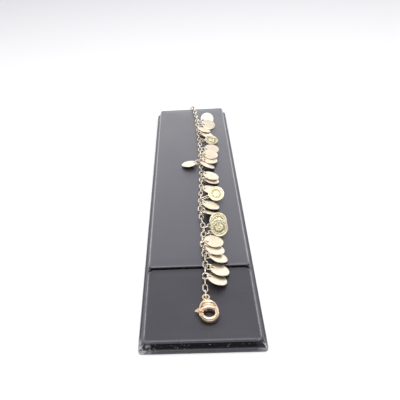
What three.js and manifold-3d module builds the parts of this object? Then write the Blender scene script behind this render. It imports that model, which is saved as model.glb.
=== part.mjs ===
import * as THREE from 'three';
import { mergeVertices } from 'three/addons/utils/BufferGeometryUtils.js';
import Module from 'manifold-3d';

// A gold-tone charm anklet laid open along a long padded display stand.
// Millimetres. X runs across the stand, Y along it from the clasp end to the far end, Z up.
// The origin is the middle of the stand's underside.

// Display stand: a board with sloping borders that carries two padded panels.
const STAND = {
  width: 53,
  boardNearEnd: -112.5,
  boardFarEnd: 112.4,
  boardTop: 3.6,
  boardLip: 1.8,
  boardBevelRun: 2,
  boardCornerRadius: 2.1,
  boardEdge: 0.35,
  padNearEnd: -110.6,
  padFarEnd: 110.5,
  padInset: 2.2,
  padCornerRadius: 2.2,
  padShoulder: 1.2,
  padHem: 0.4,
  padTop: 7,
  seamGap: 0.3,
  creaseY: -68.6,
  creaseGap: 0.5,
  creaseTightness: 0.6,
  lowerStepDown: 0.25,
  lowerSlopeDeg: 1.2,
};

// Cable chain: oval links of round wire, each a quarter turn from the next.
const LINK = { length: 4.7, width: 2.8, wire: 0.6 };
const WELD_OVERLAP = 0.08;
const LOOSE_GAP = 0.32;
const CHAIN_LIFT = 1.55;
const CHAIN_SWAY_DEG = 12;
const CHAIN_SWAY_STEP = 1.7;
const CHAIN_START = 0.2;
const WIRE_SIDES = 5;
const WIRE_STEPS = 10;
const LINKS_IN_NEAR_HALF = 32;
const NEAR_HALF_END_Y = 30;

// The route of the chain's middle along the stand: x across for each y along.
const CHAIN_ROUTE_ON_PAD = [
  [2.42, -89.97], [2.4, -87], [2.45, -84], [2.6, -79], [2.8, -73], [3.2, -68], [3.1, -63], [2.6, -57.5],
  [2.6, -51], [3.3, -45], [3.2, -40], [2.7, -34], [2.3, -26], [2.6, -19], [3.2, -10], [3.7, -2], [4.0, 6], [4.4, 15],
  [4.5, 28], [4.6, 44], [4.5, 58], [4.2, 68], [3.8, 81], [3.5, 92], [2.7, 101],
];
// Over the far edge, down behind the stand and along the surface it stands on: x, y, z.
const CHAIN_ROUTE_BEHIND = [
  [2.1, 106.5, 8.6], [1.6, 109.4, 8.6], [1.0, 112.1, 7.6], [0.5, 113.5, 5.4], [0.2, 114.6, 3.5],
  [-0.2, 117.2, 2.0], [-0.8, 120.6, 1.6], [-1.5, 125, 1.55], [-2.2, 130, 1.55],
];
const CHAIN_LENGTH_BEHIND_CLASP = 212;

// Charms: thin plain discs, and coins with a raised rim and cast relief.
const DISC = { radius: 4.8, thickness: 0.45, holeRadius: 0.85, holeInset: 1.35, sides: 15 };
const COIN = {
  radius: 4.5, rimThickness: 1, rimWidth: 0.6, fieldThickness: 0.6, ringRadius: 2.9, ringHeight: 0.16,
  ringFoot: 0.15, bossRadius: 0.95, bossFlatness: 0.3, petals: 5, petalLength: 1.7, petalWidth: 0.85,
  petalHeight: 0.2, sides: 14, eyeRadius: 0.85, eyeWire: 0.5, eyeWeld: 0.1,
};
const JUMP_RING = { width: 3.2, wire: 0.5 };

const COIN_EYE_X = COIN.eyeWeld - COIN.radius - COIN.eyeRadius;

// Each charm's middle, how far its far edge is raised (lean), how far its right side is lowered (slope),
// and how far it is turned about its own middle, in degrees. Its jump ring is given as the ring's length,
// how many degrees it dips from the charm's plane and how many degrees it reaches aside.
const CHARMS = [
  { name: 'disc_01', x: 7.9, y: -79.44, z: 8.9, lean: -12, slope: 20, turn: -10, ring: [3.6, 10, 0] },
  { name: 'disc_02', x: 9.4, y: -73.36, z: 8.8, lean: -10, slope: 18, turn: -10, ring: [4, 10, 0] },
  { name: 'disc_03', x: 9.3, y: -65.3, z: 9.3, lean: -12, slope: 20, turn: 0, ring: [4, 20, 0] },
  { name: 'disc_04', x: 8.1, y: -60.63, z: 10.3, lean: -8, slope: 15, turn: -20, ring: [3.2, 30, 10] },
  { name: 'disc_05', x: 7.9, y: -55.6, z: 11, lean: -5, slope: 12, turn: 20, ring: [4.6, 30, 0] },
  { name: 'coin_01', x: 11.2, y: -45.3, z: 11, lean: 50, slope: 7, turn: 30, ring: [3.2, 0, 0] },
  { name: 'coin_02', x: 10.9, y: -41.3, z: 12.1, lean: 48, slope: 8, turn: 30, ring: [3.6, 10, 0] },
  { name: 'disc_06', x: 7.8, y: -31.5, z: 10.3, lean: -27, slope: 16, turn: -30, ring: [3.2, 0, 0] },
  { name: 'disc_07', x: 8.2, y: -22.8, z: 9.1, lean: -10, slope: 18, turn: -20, ring: [3.6, 10, 0] },
  { name: 'coin_03', x: 11.7, y: -13, z: 9.8, lean: 30, slope: 2, turn: 20, ring: [4.6, 0, 0] },
  { name: 'disc_08', x: 8.9, y: -7.2, z: 8.9, lean: -5, slope: 14, turn: 0, ring: [3.2, 0, 0] },
  { name: 'disc_09', x: 9.8, y: 3.5, z: 8.9, lean: -4, slope: 18, turn: 20, ring: [4, 10, 0] },
  { name: 'disc_10', x: 9.8, y: 6.2, z: 9.9, lean: -4, slope: 16, turn: -25, ring: [3.8, 20, 0] },
  { name: 'disc_11', x: 8.3, y: 19.26, z: 9.7, lean: -12, slope: 25, turn: -45, ring: [3.2, 0, 0] },
  { name: 'disc_12', x: -3, y: 23.8, z: 8.3, lean: -9, slope: -6, turn: 190, ring: [4, 0, 0] },
  { name: 'disc_13', x: 10.2, y: 26.23, z: 9.4, lean: -1, slope: 13, turn: 20, ring: [3.4, 10, 0] },
  { name: 'disc_14', x: 10.8, y: 31.03, z: 10.4, lean: 5, slope: 11, turn: 10, ring: [4.3, 20, 0] },
  { name: 'disc_15', x: 12, y: 39.3, z: 9.7, lean: 8, slope: 7, turn: 10, ring: [4.6, 0, 0] },
  { name: 'coin_04', x: 12.6, y: 52.4, z: 9.2, lean: 13, slope: 9, turn: 10, ring: [3.4, 0, 0] },
  { name: 'disc_16', x: 9.9, y: 61.64, z: 9, lean: -3, slope: 20, turn: 10, ring: [3.6, 10, 0] },
  { name: 'disc_17', x: 8.2, y: 67.34, z: 9.9, lean: -9, slope: 19, turn: -20, ring: [3.2, 30, 0] },
  { name: 'disc_18', x: 11.8, y: 76.2, z: 9.4, lean: 20, slope: 14, turn: 10, ring: [5.6, 10, 0] },
  { name: 'disc_19', x: 11.3, y: 82.1, z: 10.9, lean: 48, slope: 10, turn: 20, ring: [4.9, 10, 0] },
];

// Lobster clasp, lying flat, in its own frame: the middle of the claw's ring at the origin, the eye towards +Y.
const CLASP = {
  x: 3.4,
  y: -98.6,
  turnDeg: 6,
  clearOfPad: 0.15,
  ringRadius: 3.25,
  ringHalfWidth: 1.1,
  ringHalfThickness: 1.5,
  casingHalfWidth: 4.2,
  casingHeight: 7.1,
  casingBaseY: 0.6,
  casingHalfThickness: 1.25,
  casingEdge: 0.4,
  slotHalfThickness: 0.8,
  slotFrom: [-6.8, -0.9],
  slotTo: [-0.8, 4.3],
  mouthFromDeg: 165,
  mouthToDeg: 198,
  mouthReach: 9,
  mouthHalfDepth: 4,
  leverSweep: 3.98,
  leverSweepFromDeg: 249,
  leverSweepToDeg: 303,
  eyeY: 9.2,
  eyeRadius: 1.35,
  eyeWire: 1,
  pivot: [-2.35, 2.55],
  pinRadius: 0.4,
  pinShort: 0.3,
  leverBore: 0.7,
  leverHalfThickness: 0.5,
};
const END_RING = { radius: 2.2, wire: 0.9, fall: 0.5 };

const FINISH = {
  gold: { color: 0xd9b970, roughness: 0.22, metalness: 1 },
  paleGold: { color: 0xe6d3a6, roughness: 0.3, metalness: 1 },
  coinGold: { color: 0xcbbd7c, roughness: 0.3, metalness: 1 },
  padding: { color: 0x3a393e, roughness: 0.45, metalness: 0 },
};

const wasm = await Module();
wasm.setup();
const radians = THREE.MathUtils.degToRad;

// ---- Solids and pieces ----

function toSolid(geometry) {
  const bare = geometry.clone();
  bare.deleteAttribute('normal');
  bare.deleteAttribute('uv');
  const welded = mergeVertices(bare, 1e-4);
  return new wasm.Manifold(new wasm.Mesh({
    numProp: 3,
    vertProperties: new Float32Array(welded.attributes.position.array),
    triVerts: new Uint32Array(welded.index.array),
  }));
}

function toGeometry(solid) {
  const mesh = solid.getMesh();
  const geometry = new THREE.BufferGeometry();
  geometry.setAttribute('position', new THREE.BufferAttribute(new Float32Array(mesh.vertProperties), 3));
  geometry.setIndex(new THREE.BufferAttribute(new Uint32Array(mesh.triVerts), 1));
  geometry.computeVertexNormals();
  return geometry;
}

function fuse(geometries) {
  return geometries.map(toSolid).reduce((whole, part) => whole.add(part));
}

function makePiece(name, geometry, finish) {
  const mesh = new THREE.Mesh(geometry, new THREE.MeshStandardMaterial(finish));
  mesh.name = name;
  return mesh;
}

function outward(value) {
  return Math.abs(value) < 1e-6 ? 0 : Math.sign(value);
}

// Parts a geometry down its middle planes and moves the halves outwards, so that a ring becomes
// an oval with straight sides, and a turned form becomes a long one with the same rounded corners.
function pullApart(geometry, alongX, alongY) {
  const places = geometry.attributes.position;
  for (let i = 0; i < places.count; i += 1) {
    const x = places.getX(i);
    const y = places.getY(i);
    places.setX(i, x + outward(x) * alongX);
    places.setY(i, y + outward(y) * alongY);
  }
  return geometry;
}

function circlePoints(radius, count, centreX = 0, centreY = 0) {
  const points = [];
  for (let i = 0; i < count; i += 1) {
    const angle = (2 * Math.PI * i) / count;
    points.push(new THREE.Vector2(centreX + radius * Math.cos(angle), centreY + radius * Math.sin(angle)));
  }
  return points;
}

function extrudeAboutMiddle(shape, halfThickness, edge = 0) {
  const geometry = new THREE.ExtrudeGeometry(shape, {
    depth: 2 * (halfThickness - edge),
    bevelEnabled: edge > 0,
    bevelThickness: edge,
    bevelSize: edge,
    bevelOffset: -edge,
    bevelSegments: 1,
    curveSegments: 8,
  });
  return geometry.translate(0, 0, edge - halfThickness);
}

// ---- Display stand ----

function padSurface(y) {
  if (y > STAND.creaseY) return STAND.padTop;
  return STAND.padTop - STAND.lowerStepDown - (STAND.creaseY - y) * Math.tan(radians(STAND.lowerSlopeDeg));
}

// A slab with rounded corners and edges: profile is [inset from the outline, height] from the underside up.
function slab(width, fromY, toY, cornerRadius, profile) {
  const outline = profile.map(([inset, z]) => new THREE.Vector2(cornerRadius - inset, z));
  const bottom = new THREE.Vector2(0, outline[0].y);
  const top = new THREE.Vector2(0, outline.at(-1).y);
  const segments = 12;
  const turned = new THREE.LatheGeometry([bottom, ...outline, top], segments, Math.PI / segments);
  turned.rotateX(Math.PI / 2);
  pullApart(turned, width / 2 - cornerRadius, (toY - fromY) / 2 - cornerRadius);
  return turned.translate(0, (fromY + toY) / 2, 0);
}

function boardGeometry() {
  const { width, boardNearEnd, boardFarEnd, boardCornerRadius, boardEdge, boardLip, boardBevelRun, boardTop } = STAND;
  return slab(width, boardNearEnd, boardFarEnd, boardCornerRadius, [
    [boardEdge, 0], [0, boardEdge], [0, boardLip], [boardBevelRun, boardTop],
  ]);
}

// A padded panel between two places along the stand, with round shoulders and a tucked-in hem.
function panelGeometry(fromY, toY) {
  const { padShoulder, padHem, padTop, padCornerRadius, boardTop, seamGap, width, padInset } = STAND;
  const bottom = boardTop + seamGap;
  const profile = [[padHem, bottom], [0, bottom + padHem]];
  for (const angle of [0, 30, 60, 90].map(radians)) {
    profile.push([padShoulder * (1 - Math.cos(angle)), padTop - padShoulder * (1 - Math.sin(angle))]);
  }
  return slab(width - 2 * padInset, fromY, toY, padCornerRadius, profile);
}

// Sharpens a panel's rounding along the crease, where the covering is drawn down tight.
function tightenCrease(geometry, edgeY) {
  const places = geometry.attributes.position;
  for (let i = 0; i < places.count; i += 1) {
    const fromCrease = places.getY(i) - edgeY;
    if (Math.abs(fromCrease) < STAND.padCornerRadius + 0.01) {
      places.setY(i, edgeY + fromCrease * STAND.creaseTightness);
    }
  }
  return geometry;
}

// Lowers the top of the near panel so that it slopes down to the near end.
function slopeDown(geometry) {
  const places = geometry.attributes.position;
  const bottom = STAND.boardTop + STAND.seamGap;
  for (let i = 0; i < places.count; i += 1) {
    const share = (places.getZ(i) - bottom) / (STAND.padTop - bottom);
    places.setZ(i, places.getZ(i) - share * (STAND.padTop - padSurface(places.getY(i))));
  }
  return geometry;
}

function buildStand() {
  const stand = new THREE.Group();
  const lowerEdge = STAND.creaseY - STAND.creaseGap / 2;
  const upperEdge = STAND.creaseY + STAND.creaseGap / 2;
  const lower = slopeDown(tightenCrease(panelGeometry(STAND.padNearEnd, lowerEdge), lowerEdge));
  const upper = tightenCrease(panelGeometry(upperEdge, STAND.padFarEnd), upperEdge);
  stand.add(makePiece('stand_base', boardGeometry(), FINISH.padding));
  stand.add(makePiece('pad_lower', lower, FINISH.padding));
  stand.add(makePiece('pad_upper', upper, FINISH.padding));
  return stand;
}

// ---- Links and rings ----

// An oval of round wire in the XY plane, its length along X.
function ovalOfWire(halfLength, halfWidth, wire) {
  const halfStep = Math.PI / WIRE_STEPS;
  const ring = new THREE.TorusGeometry(halfWidth, wire / 2, WIRE_SIDES, WIRE_STEPS).rotateZ(halfStep);
  return pullApart(ring, halfLength - halfWidth * Math.cos(halfStep), 0);
}

function placeInPlane(geometry, middle, along, across) {
  const normal = new THREE.Vector3().crossVectors(along, across).normalize();
  const side = new THREE.Vector3().crossVectors(normal, along).normalize();
  const place = new THREE.Matrix4().makeBasis(along.clone().normalize(), side, normal).setPosition(middle);
  return geometry.applyMatrix4(place);
}

function chainCurve() {
  const onPad = CHAIN_ROUTE_ON_PAD.map(([x, y]) => new THREE.Vector3(x, y, padSurface(y) + CHAIN_LIFT));
  const behind = CHAIN_ROUTE_BEHIND.map(([x, y, z]) => new THREE.Vector3(x, y, z));
  const curve = new THREE.CatmullRomCurve3([...onPad, ...behind], false, 'centripetal');
  curve.arcLengthDivisions = 2000;
  return curve;
}

// The middle, direction and side direction of every link along the route.
function layOutLinks() {
  const curve = chainCurve();
  const whole = curve.getLength();
  const endToWire = LINK.length / 2 - LINK.wire / 2;
  const flat = (LINK.wire / 2) * Math.cos(Math.PI / WIRE_SIDES);
  const fusedPitch = 2 * endToWire - 2 * flat + WELD_OVERLAP;
  const loosePitch = 2 * endToWire - LINK.wire - LOOSE_GAP;
  const links = [];
  let reach = endToWire + CHAIN_START;
  while (reach + endToWire < Math.min(whole, CHAIN_LENGTH_BEHIND_CLASP)) {
    const middle = curve.getPointAt(reach / whole);
    const along = curve.getTangentAt(reach / whole);
    const sway = CHAIN_SWAY_DEG * Math.sin(CHAIN_SWAY_STEP * links.length);
    const roll = radians(((links.length + 1) % 2) * 90 + sway);
    const level = new THREE.Vector3(along.y, -along.x, 0).normalize();
    const across = level.applyAxisAngle(along, roll);
    links.push({ middle, along, across });
    reach += links.length === LINKS_IN_NEAR_HALF ? loosePitch : fusedPitch;
  }
  return links;
}

function linkGeometry(link) {
  const oval = ovalOfWire((LINK.length - LINK.wire) / 2, (LINK.width - LINK.wire) / 2, LINK.wire);
  return placeInPlane(oval, link.middle, link.along, link.across);
}

// ---- Charms ----

function discGeometry() {
  const shape = new THREE.Shape(circlePoints(DISC.radius, DISC.sides));
  shape.holes.push(new THREE.Path(circlePoints(DISC.holeRadius, 6, DISC.holeInset - DISC.radius)));
  return extrudeAboutMiddle(shape, DISC.thickness / 2);
}

// One petal of the coin's rosette: a low ridge that points away from the middle.
function petalGeometry(angle) {
  const { petalLength, petalWidth, petalHeight, bossRadius, fieldThickness } = COIN;
  const petal = new THREE.OctahedronGeometry(1, 0);
  petal.scale(petalLength / 2, petalWidth / 2, petalHeight);
  petal.translate(bossRadius + petalLength / 2, 0, fieldThickness / 2);
  return petal.rotateZ(angle);
}

function coinGeometry() {
  const rimInside = COIN.radius - COIN.rimWidth;
  const rim = COIN.rimThickness / 2;
  const field = COIN.fieldThickness / 2;
  const ringTop = field + COIN.ringHeight;
  const profile = [
    [0, -field], [rimInside, -field], [COIN.radius, -rim], [COIN.radius, rim], [rimInside, field],
    [COIN.ringRadius + COIN.ringFoot, field], [COIN.ringRadius, ringTop],
    [COIN.ringRadius - COIN.ringFoot, field], [0, field],
  ].map(([r, z]) => new THREE.Vector2(r, z));
  const body = new THREE.LatheGeometry(profile, COIN.sides).rotateX(Math.PI / 2);
  const boss = new THREE.OctahedronGeometry(COIN.bossRadius, 0).scale(1, 1, COIN.bossFlatness);
  boss.translate(0, 0, field);
  const eye = new THREE.TorusGeometry(COIN.eyeRadius, COIN.eyeWire / 2, WIRE_SIDES, WIRE_STEPS);
  eye.translate(COIN_EYE_X, 0, 0);
  const petals = [];
  for (let i = 0; i < COIN.petals; i += 1) {
    petals.push(petalGeometry((2 * Math.PI * i) / COIN.petals));
  }
  return toGeometry(fuse([body, boss, eye, ...petals]));
}

const CHARM_KINDS = {
  disc: { geometry: discGeometry(), finish: FINISH.paleGold, holeAt: DISC.holeInset - DISC.radius },
  coin: { geometry: coinGeometry(), finish: FINISH.coinGold, holeAt: COIN_EYE_X },
};

function kindOf(row) {
  return CHARM_KINDS[row.name.split('_')[0]];
}

function makeCharm(row) {
  const kind = kindOf(row);
  const charm = makePiece(row.name, kind.geometry.clone(), kind.finish);
  charm.position.set(row.x, row.y, row.z);
  charm.rotation.set(radians(row.lean), radians(row.slope), radians(row.turn), 'YXZ');
  charm.updateMatrix();
  return charm;
}

// A charm's jump ring: it stands in the charm's hole, reaches away from it and dips towards the chain.
function jumpRing(row, charm) {
  const [length, dip, aside] = row.ring;
  const halfLength = (length - JUMP_RING.wire) / 2;
  const ring = ovalOfWire(halfLength, (JUMP_RING.width - JUMP_RING.wire) / 2, JUMP_RING.wire);
  ring.rotateX(Math.PI / 2).translate(-halfLength, 0, 0).rotateY(-radians(dip)).rotateZ(radians(aside));
  return ring.translate(kindOf(row).holeAt, 0, 0).applyMatrix4(charm.matrix);
}

// ---- Chain with its jump rings ----

function buildChainAndCharms() {
  const group = new THREE.Group();
  const links = layOutLinks();
  const near = links.slice(0, LINKS_IN_NEAR_HALF).map(linkGeometry);
  const far = links.slice(LINKS_IN_NEAR_HALF).map(linkGeometry);
  for (const row of CHARMS) {
    const charm = makeCharm(row);
    (row.y < NEAR_HALF_END_Y ? near : far).push(jumpRing(row, charm));
    group.add(charm);
  }
  group.add(makePiece('chain_near', toGeometry(fuse(near)), FINISH.gold));
  group.add(makePiece('chain_far', toGeometry(fuse(far)), FINISH.gold));
  group.add(makeEndRing(links.at(-1)));
  return group;
}

// The plain ring the clasp hooks into: it hangs in the last link and leans down to the surface below.
function makeEndRing(lastLink) {
  const { radius, wire, fall } = END_RING;
  const along = lastLink.along.clone().setZ(-fall).normalize();
  const toMiddle = LINK.length / 2 - LINK.wire - wire / 2 - LOOSE_GAP + radius;
  const middle = lastLink.middle.clone().addScaledVector(along, toMiddle);
  const level = new THREE.Vector3(along.y, -along.x, 0);
  const ring = placeInPlane(new THREE.TorusGeometry(radius, wire / 2, 6, 12), middle, along, level);
  return makePiece('end_ring', ring, FINISH.gold);
}

// ---- Clasp ----

function claspRing() {
  const { ringRadius, ringHalfWidth, ringHalfThickness } = CLASP;
  const section = circlePoints(1, 8).map((p) => new THREE.Vector2(
    ringRadius + ringHalfWidth * p.x, ringHalfThickness * p.y,
  ));
  return new THREE.LatheGeometry([...section, section[0].clone()], 18).rotateX(Math.PI / 2);
}

// The pear-shaped casing above the ring, open round the ring's hole.
function claspCasing() {
  const { casingHalfWidth, casingHeight, casingBaseY, ringRadius, casingHalfThickness, casingEdge } = CLASP;
  const shape = new THREE.Shape();
  const start = Math.asin(casingBaseY / ringRadius);
  shape.absellipse(0, casingBaseY, casingHalfWidth, casingHeight, 0, Math.PI, false, 0);
  shape.absarc(0, 0, ringRadius, Math.PI - start, start, true);
  return extrudeAboutMiddle(shape, casingHalfThickness, casingEdge);
}

function pointAt(degrees, radius, centreX = 0, centreY = 0) {
  const angle = radians(degrees);
  return new THREE.Vector2(centreX + radius * Math.cos(angle), centreY + radius * Math.sin(angle));
}

// The gap between the hook's tip and the casing: a wedge from the ring's middle, whose lower side is hollowed
// about the pin so that the lever's tip can swing past the hook.
function claspMouth() {
  const { mouthFromDeg, mouthToDeg, mouthReach, leverSweep, leverSweepFromDeg, leverSweepToDeg } = CLASP;
  const shape = new THREE.Shape([
    new THREE.Vector2(0, 0), pointAt(mouthFromDeg, mouthReach), pointAt(mouthToDeg, mouthReach),
  ]);
  const sweep = [];
  for (let degrees = leverSweepFromDeg; degrees <= leverSweepToDeg; degrees += 6) {
    sweep.push(pointAt(degrees, leverSweep, ...CLASP.pivot));
  }
  const hollow = new THREE.Shape([new THREE.Vector2(0, 0), ...sweep]);
  return fuse([shape, hollow].map((outline) => extrudeAboutMiddle(outline, CLASP.mouthHalfDepth)));
}

function claspSlot() {
  const { slotFrom, slotTo, slotHalfThickness } = CLASP;
  const slot = new THREE.BoxGeometry(slotTo[0] - slotFrom[0], slotTo[1] - slotFrom[1], 2 * slotHalfThickness);
  return slot.translate((slotFrom[0] + slotTo[0]) / 2, (slotFrom[1] + slotTo[1]) / 2, 0);
}

function claspBodyGeometry() {
  const { eyeRadius, eyeWire, eyeY, pivot, pinRadius, ringHalfThickness } = CLASP;
  const eye = new THREE.TorusGeometry(eyeRadius, eyeWire / 2, 6, 12).translate(0, eyeY, 0);
  const pin = new THREE.CylinderGeometry(pinRadius, pinRadius, 2 * (ringHalfThickness - CLASP.pinShort), 8);
  pin.rotateX(Math.PI / 2).translate(pivot[0], pivot[1], 0);
  const shell = fuse([claspRing(), claspCasing(), eye]).subtract(claspMouth());
  return toGeometry(shell.subtract(toSolid(claspSlot())).add(toSolid(pin)));
}

// The lever's outline: its arm closes the mouth, its boss turns on the pin, its thumb knob stands out.
function claspLeverGeometry() {
  const outline = [
    [-2.15, -1.15], [-2.32, -0.5], [-2.42, 0.1], [-2.36, 0.65], [-2.12, 1.22], [-1.35, 1.8], [-1.1, 2.6],
    [-1.5, 3.45], [-2.4, 3.85], [-3.3, 3.75], [-4.1, 3.3], [-5.55, 2.45], [-5.95, 1.9], [-5.75, 1.4],
    [-4.7, 1.45], [-4.4, 1], [-4.3, 0.1], [-4.2, -0.8], [-2.95, -1.2],
  ].map(([x, y]) => new THREE.Vector2(x, y));
  const shape = new THREE.Shape(outline);
  shape.holes.push(new THREE.Path(circlePoints(CLASP.leverBore, 8, ...CLASP.pivot)));
  return extrudeAboutMiddle(shape, CLASP.leverHalfThickness);
}

function buildClasp() {
  const clasp = new THREE.Group();
  clasp.add(makePiece('clasp_body', claspBodyGeometry(), FINISH.gold));
  clasp.add(makePiece('clasp_lever', claspLeverGeometry(), FINISH.gold));
  const height = padSurface(CLASP.y) + CLASP.ringHalfThickness + CLASP.clearOfPad;
  clasp.position.set(CLASP.x, CLASP.y, height);
  clasp.rotation.set(radians(STAND.lowerSlopeDeg), 0, radians(CLASP.turnDeg));
  return clasp;
}

const anklet = new THREE.Group();
anklet.add(buildStand(), buildChainAndCharms(), buildClasp());

export default anklet;
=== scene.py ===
"""A gold-tone charm anklet lying open along a padded display stand covered in dark leatherette.

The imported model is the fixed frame. Each sub-assembly below is a class that holds its sizes in millimetres,
builds its finer meshes in the same places, and dresses them in procedural materials.
"""

import logging
import math
from dataclasses import dataclass
from enum import Enum
from typing import Iterable, Optional, Sequence

import bmesh
import bpy
import numpy as np
from mathutils import Matrix, Vector


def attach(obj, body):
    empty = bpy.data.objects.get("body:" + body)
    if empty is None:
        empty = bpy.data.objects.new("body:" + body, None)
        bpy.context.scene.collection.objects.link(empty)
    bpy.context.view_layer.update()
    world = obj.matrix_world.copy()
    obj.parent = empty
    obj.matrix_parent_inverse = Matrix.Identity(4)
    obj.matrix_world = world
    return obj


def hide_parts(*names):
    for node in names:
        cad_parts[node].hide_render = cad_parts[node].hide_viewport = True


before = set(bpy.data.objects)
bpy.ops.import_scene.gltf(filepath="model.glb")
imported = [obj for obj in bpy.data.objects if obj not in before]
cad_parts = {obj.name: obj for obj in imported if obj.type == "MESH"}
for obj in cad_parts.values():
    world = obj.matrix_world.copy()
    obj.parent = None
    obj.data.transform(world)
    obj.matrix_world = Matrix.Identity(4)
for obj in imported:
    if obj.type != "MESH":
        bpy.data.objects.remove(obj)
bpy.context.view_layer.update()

LOG = logging.getLogger("anklet")
MM = 0.001

Tree = bpy.types.NodeTree
Socket = bpy.types.NodeSocket
Pair = tuple[float, float]


class Body(Enum):
    """The record's bodies."""

    DISPLAY = "display"
    LEVER = "lever"


class Slot(Enum):
    """The record's material slots."""

    GOLD = "gold"
    PALE_GOLD = "pale_gold"
    COIN_GOLD = "coin_gold"
    LEATHERETTE = "leatherette"


class Panel(Enum):
    """The stand's two padded panels, under their pieces' names."""

    LOWER = "padded_lower_panel"
    UPPER = "padded_upper_panel"


class Side(Enum):
    """A side of the stand, as the sign of its place along X."""

    LEFT = -1
    RIGHT = 1


# ---------------------------------------------------------------------------------------------------------
# Shapes: numpy vertices in millimetres and the faces between them
# ---------------------------------------------------------------------------------------------------------


@dataclass
class Shape:
    """A mesh in the making.

    Args:
        points: Vertices, one row of x, y, z each, in millimetres.
        faces: Vertex numbers of each face.
        relief: Optional height share of each vertex: 0 in a hollow, 0.5 on plain ground, 1 on a crest; on the
            cloth, also painted shade and highlight.
    """

    points: np.ndarray
    faces: list[tuple[int, ...]]
    relief: Optional[np.ndarray] = None

    def placed(self, matrix: Matrix) -> "Shape":
        """Carries the shape to another place.

        Args:
            matrix: Where to, as a turn and a shift in millimetres.

        Returns:
            The carried shape.
        """
        turn = np.array(matrix.to_3x3())
        shift = np.array(matrix.to_translation())
        return Shape(self.points @ turn.T + shift, self.faces, self.relief)


def joined(shapes: Iterable[Shape]) -> Shape:
    """Puts several shapes in one.

    Args:
        shapes: The shapes, which may touch or cross.

    Returns:
        One shape with all their faces.
    """
    points, faces, relief, start = [], [], [], 0
    for shape in shapes:
        points.append(shape.points)
        relief.append(np.full(len(shape.points), 0.5) if shape.relief is None else shape.relief)
        faces.extend(tuple(i + start for i in face) for face in shape.faces)
        start += len(shape.points)
    return Shape(np.vstack(points), faces, np.concatenate(relief))


def grid_faces(rows: int, columns: int, closed_rows: bool, closed_columns: bool) -> list[tuple[int, ...]]:
    """Lays quads between rows of points.

    Args:
        rows: Number of rows.
        columns: Points in each row.
        closed_rows: Whether the last row meets the first.
        closed_columns: Whether each row's last point meets its first.

    Returns:
        The faces, each as four vertex numbers.
    """
    faces = []
    for r in range(rows if closed_rows else rows - 1):
        for c in range(columns if closed_columns else columns - 1):
            r2, c2 = (r + 1) % rows, (c + 1) % columns
            faces.append((r * columns + c, r * columns + c2, r2 * columns + c2, r2 * columns + c))
    return faces


def row_cap(row: int, columns: int, turned: bool = False) -> tuple[int, ...]:
    """One face that fills a whole row of points, turned over where asked."""
    face = tuple(range(row * columns, (row + 1) * columns))
    return face[::-1] if turned else face


def wire_oval(
    half_length: float, half_width: float, wire_radius: float, around: int = 40, sides: int = 12
) -> Shape:
    """Bends round wire to a closed oval in the XY plane, with straight sides and round ends.

    Args:
        half_length: From the middle to the end of the wire's centre line, along X.
        half_width: From the middle to the side of the wire's centre line.
        wire_radius: Half the wire's thickness.
        around: Steps round the oval.
        sides: Steps round the wire.

    Returns:
        The oval.
    """
    turn = (np.arange(around) + 0.5) * 2 * math.pi / around
    out = np.stack([np.cos(turn), np.sin(turn), np.zeros(around)], axis=1)
    line = out * half_width
    line[:, 0] += np.sign(out[:, 0]) * (half_length - half_width)
    section = np.arange(sides) * 2 * math.pi / sides
    points = (
        line[:, None, :]
        + wire_radius * np.cos(section)[None, :, None] * out[:, None, :]
        + wire_radius * np.sin(section)[None, :, None] * np.array([0.0, 0.0, 1.0])
    )
    return Shape(points.reshape(-1, 3), grid_faces(around, sides, True, True))


def smooth_step(low: float, high: float, value: np.ndarray) -> np.ndarray:
    """Rises smoothly from 0 at low to 1 at high."""
    share = np.clip((value - low) / (high - low), 0, 1)
    return share * share * (3 - 2 * share)


def hump(value: np.ndarray, middle: float, spread: float) -> np.ndarray:
    """A smooth hump that is 1 at its middle and dies away over its spread."""
    return np.exp(-(((value - middle) / spread) ** 2))


def turn_x(degrees: float) -> Matrix:
    """A turn about X."""
    return Matrix.Rotation(math.radians(degrees), 4, "X")


def turn_y(degrees: float) -> Matrix:
    """A turn about Y."""
    return Matrix.Rotation(math.radians(degrees), 4, "Y")


def turn_z(degrees: float) -> Matrix:
    """A turn about Z."""
    return Matrix.Rotation(math.radians(degrees), 4, "Z")


def scaled(matrix: Matrix) -> Matrix:
    """A matrix in millimetres as one for meshes in metres."""
    return Matrix.Translation(matrix.to_translation() * MM) @ matrix.to_3x3().to_4x4()


# ---------------------------------------------------------------------------------------------------------
# Materials. Noise lies mostly between 0.3 and 0.7, so the ranges below cut it into patches or let it fade.
# ---------------------------------------------------------------------------------------------------------


def linear(colour: str) -> tuple[float, float, float, float]:
    """Turns an sRGB hex colour to linear light.

    Args:
        colour: Six hex digits, with or without a leading #.

    Returns:
        Red, green, blue and alpha.
    """
    digits = colour.lstrip("#")
    channels = [int(digits[i : i + 2], 16) / 255 for i in (0, 2, 4)]
    straight = [c / 12.92 if c <= 0.04045 else ((c + 0.055) / 1.055) ** 2.4 for c in channels]
    return (straight[0], straight[1], straight[2], 1.0)


def per_metre(size_mm: float) -> float:
    """How often a pattern of this size repeats in a metre."""
    return 1 / (size_mm * MM)


def add_node(tree: Tree, kind: str, inputs: dict | Sequence = (), **settings: object) -> bpy.types.Node:
    """Adds a node with its settings and links.

    Args:
        tree: The node tree.
        kind: The node's type, without the ShaderNode in front.
        inputs: What its sockets get, in their order or under their names or numbers: a value, or the output
            socket that feeds it.
        **settings: Properties of the node.

    Returns:
        The new node.
    """
    node = tree.nodes.new("ShaderNode" + kind)
    for name, value in settings.items():
        setattr(node, name, value)
    for name, value in inputs.items() if isinstance(inputs, dict) else enumerate(inputs):
        if isinstance(value, Socket):
            tree.links.new(value, node.inputs[name])
        else:
            node.inputs[name].default_value = value
    return node


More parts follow.
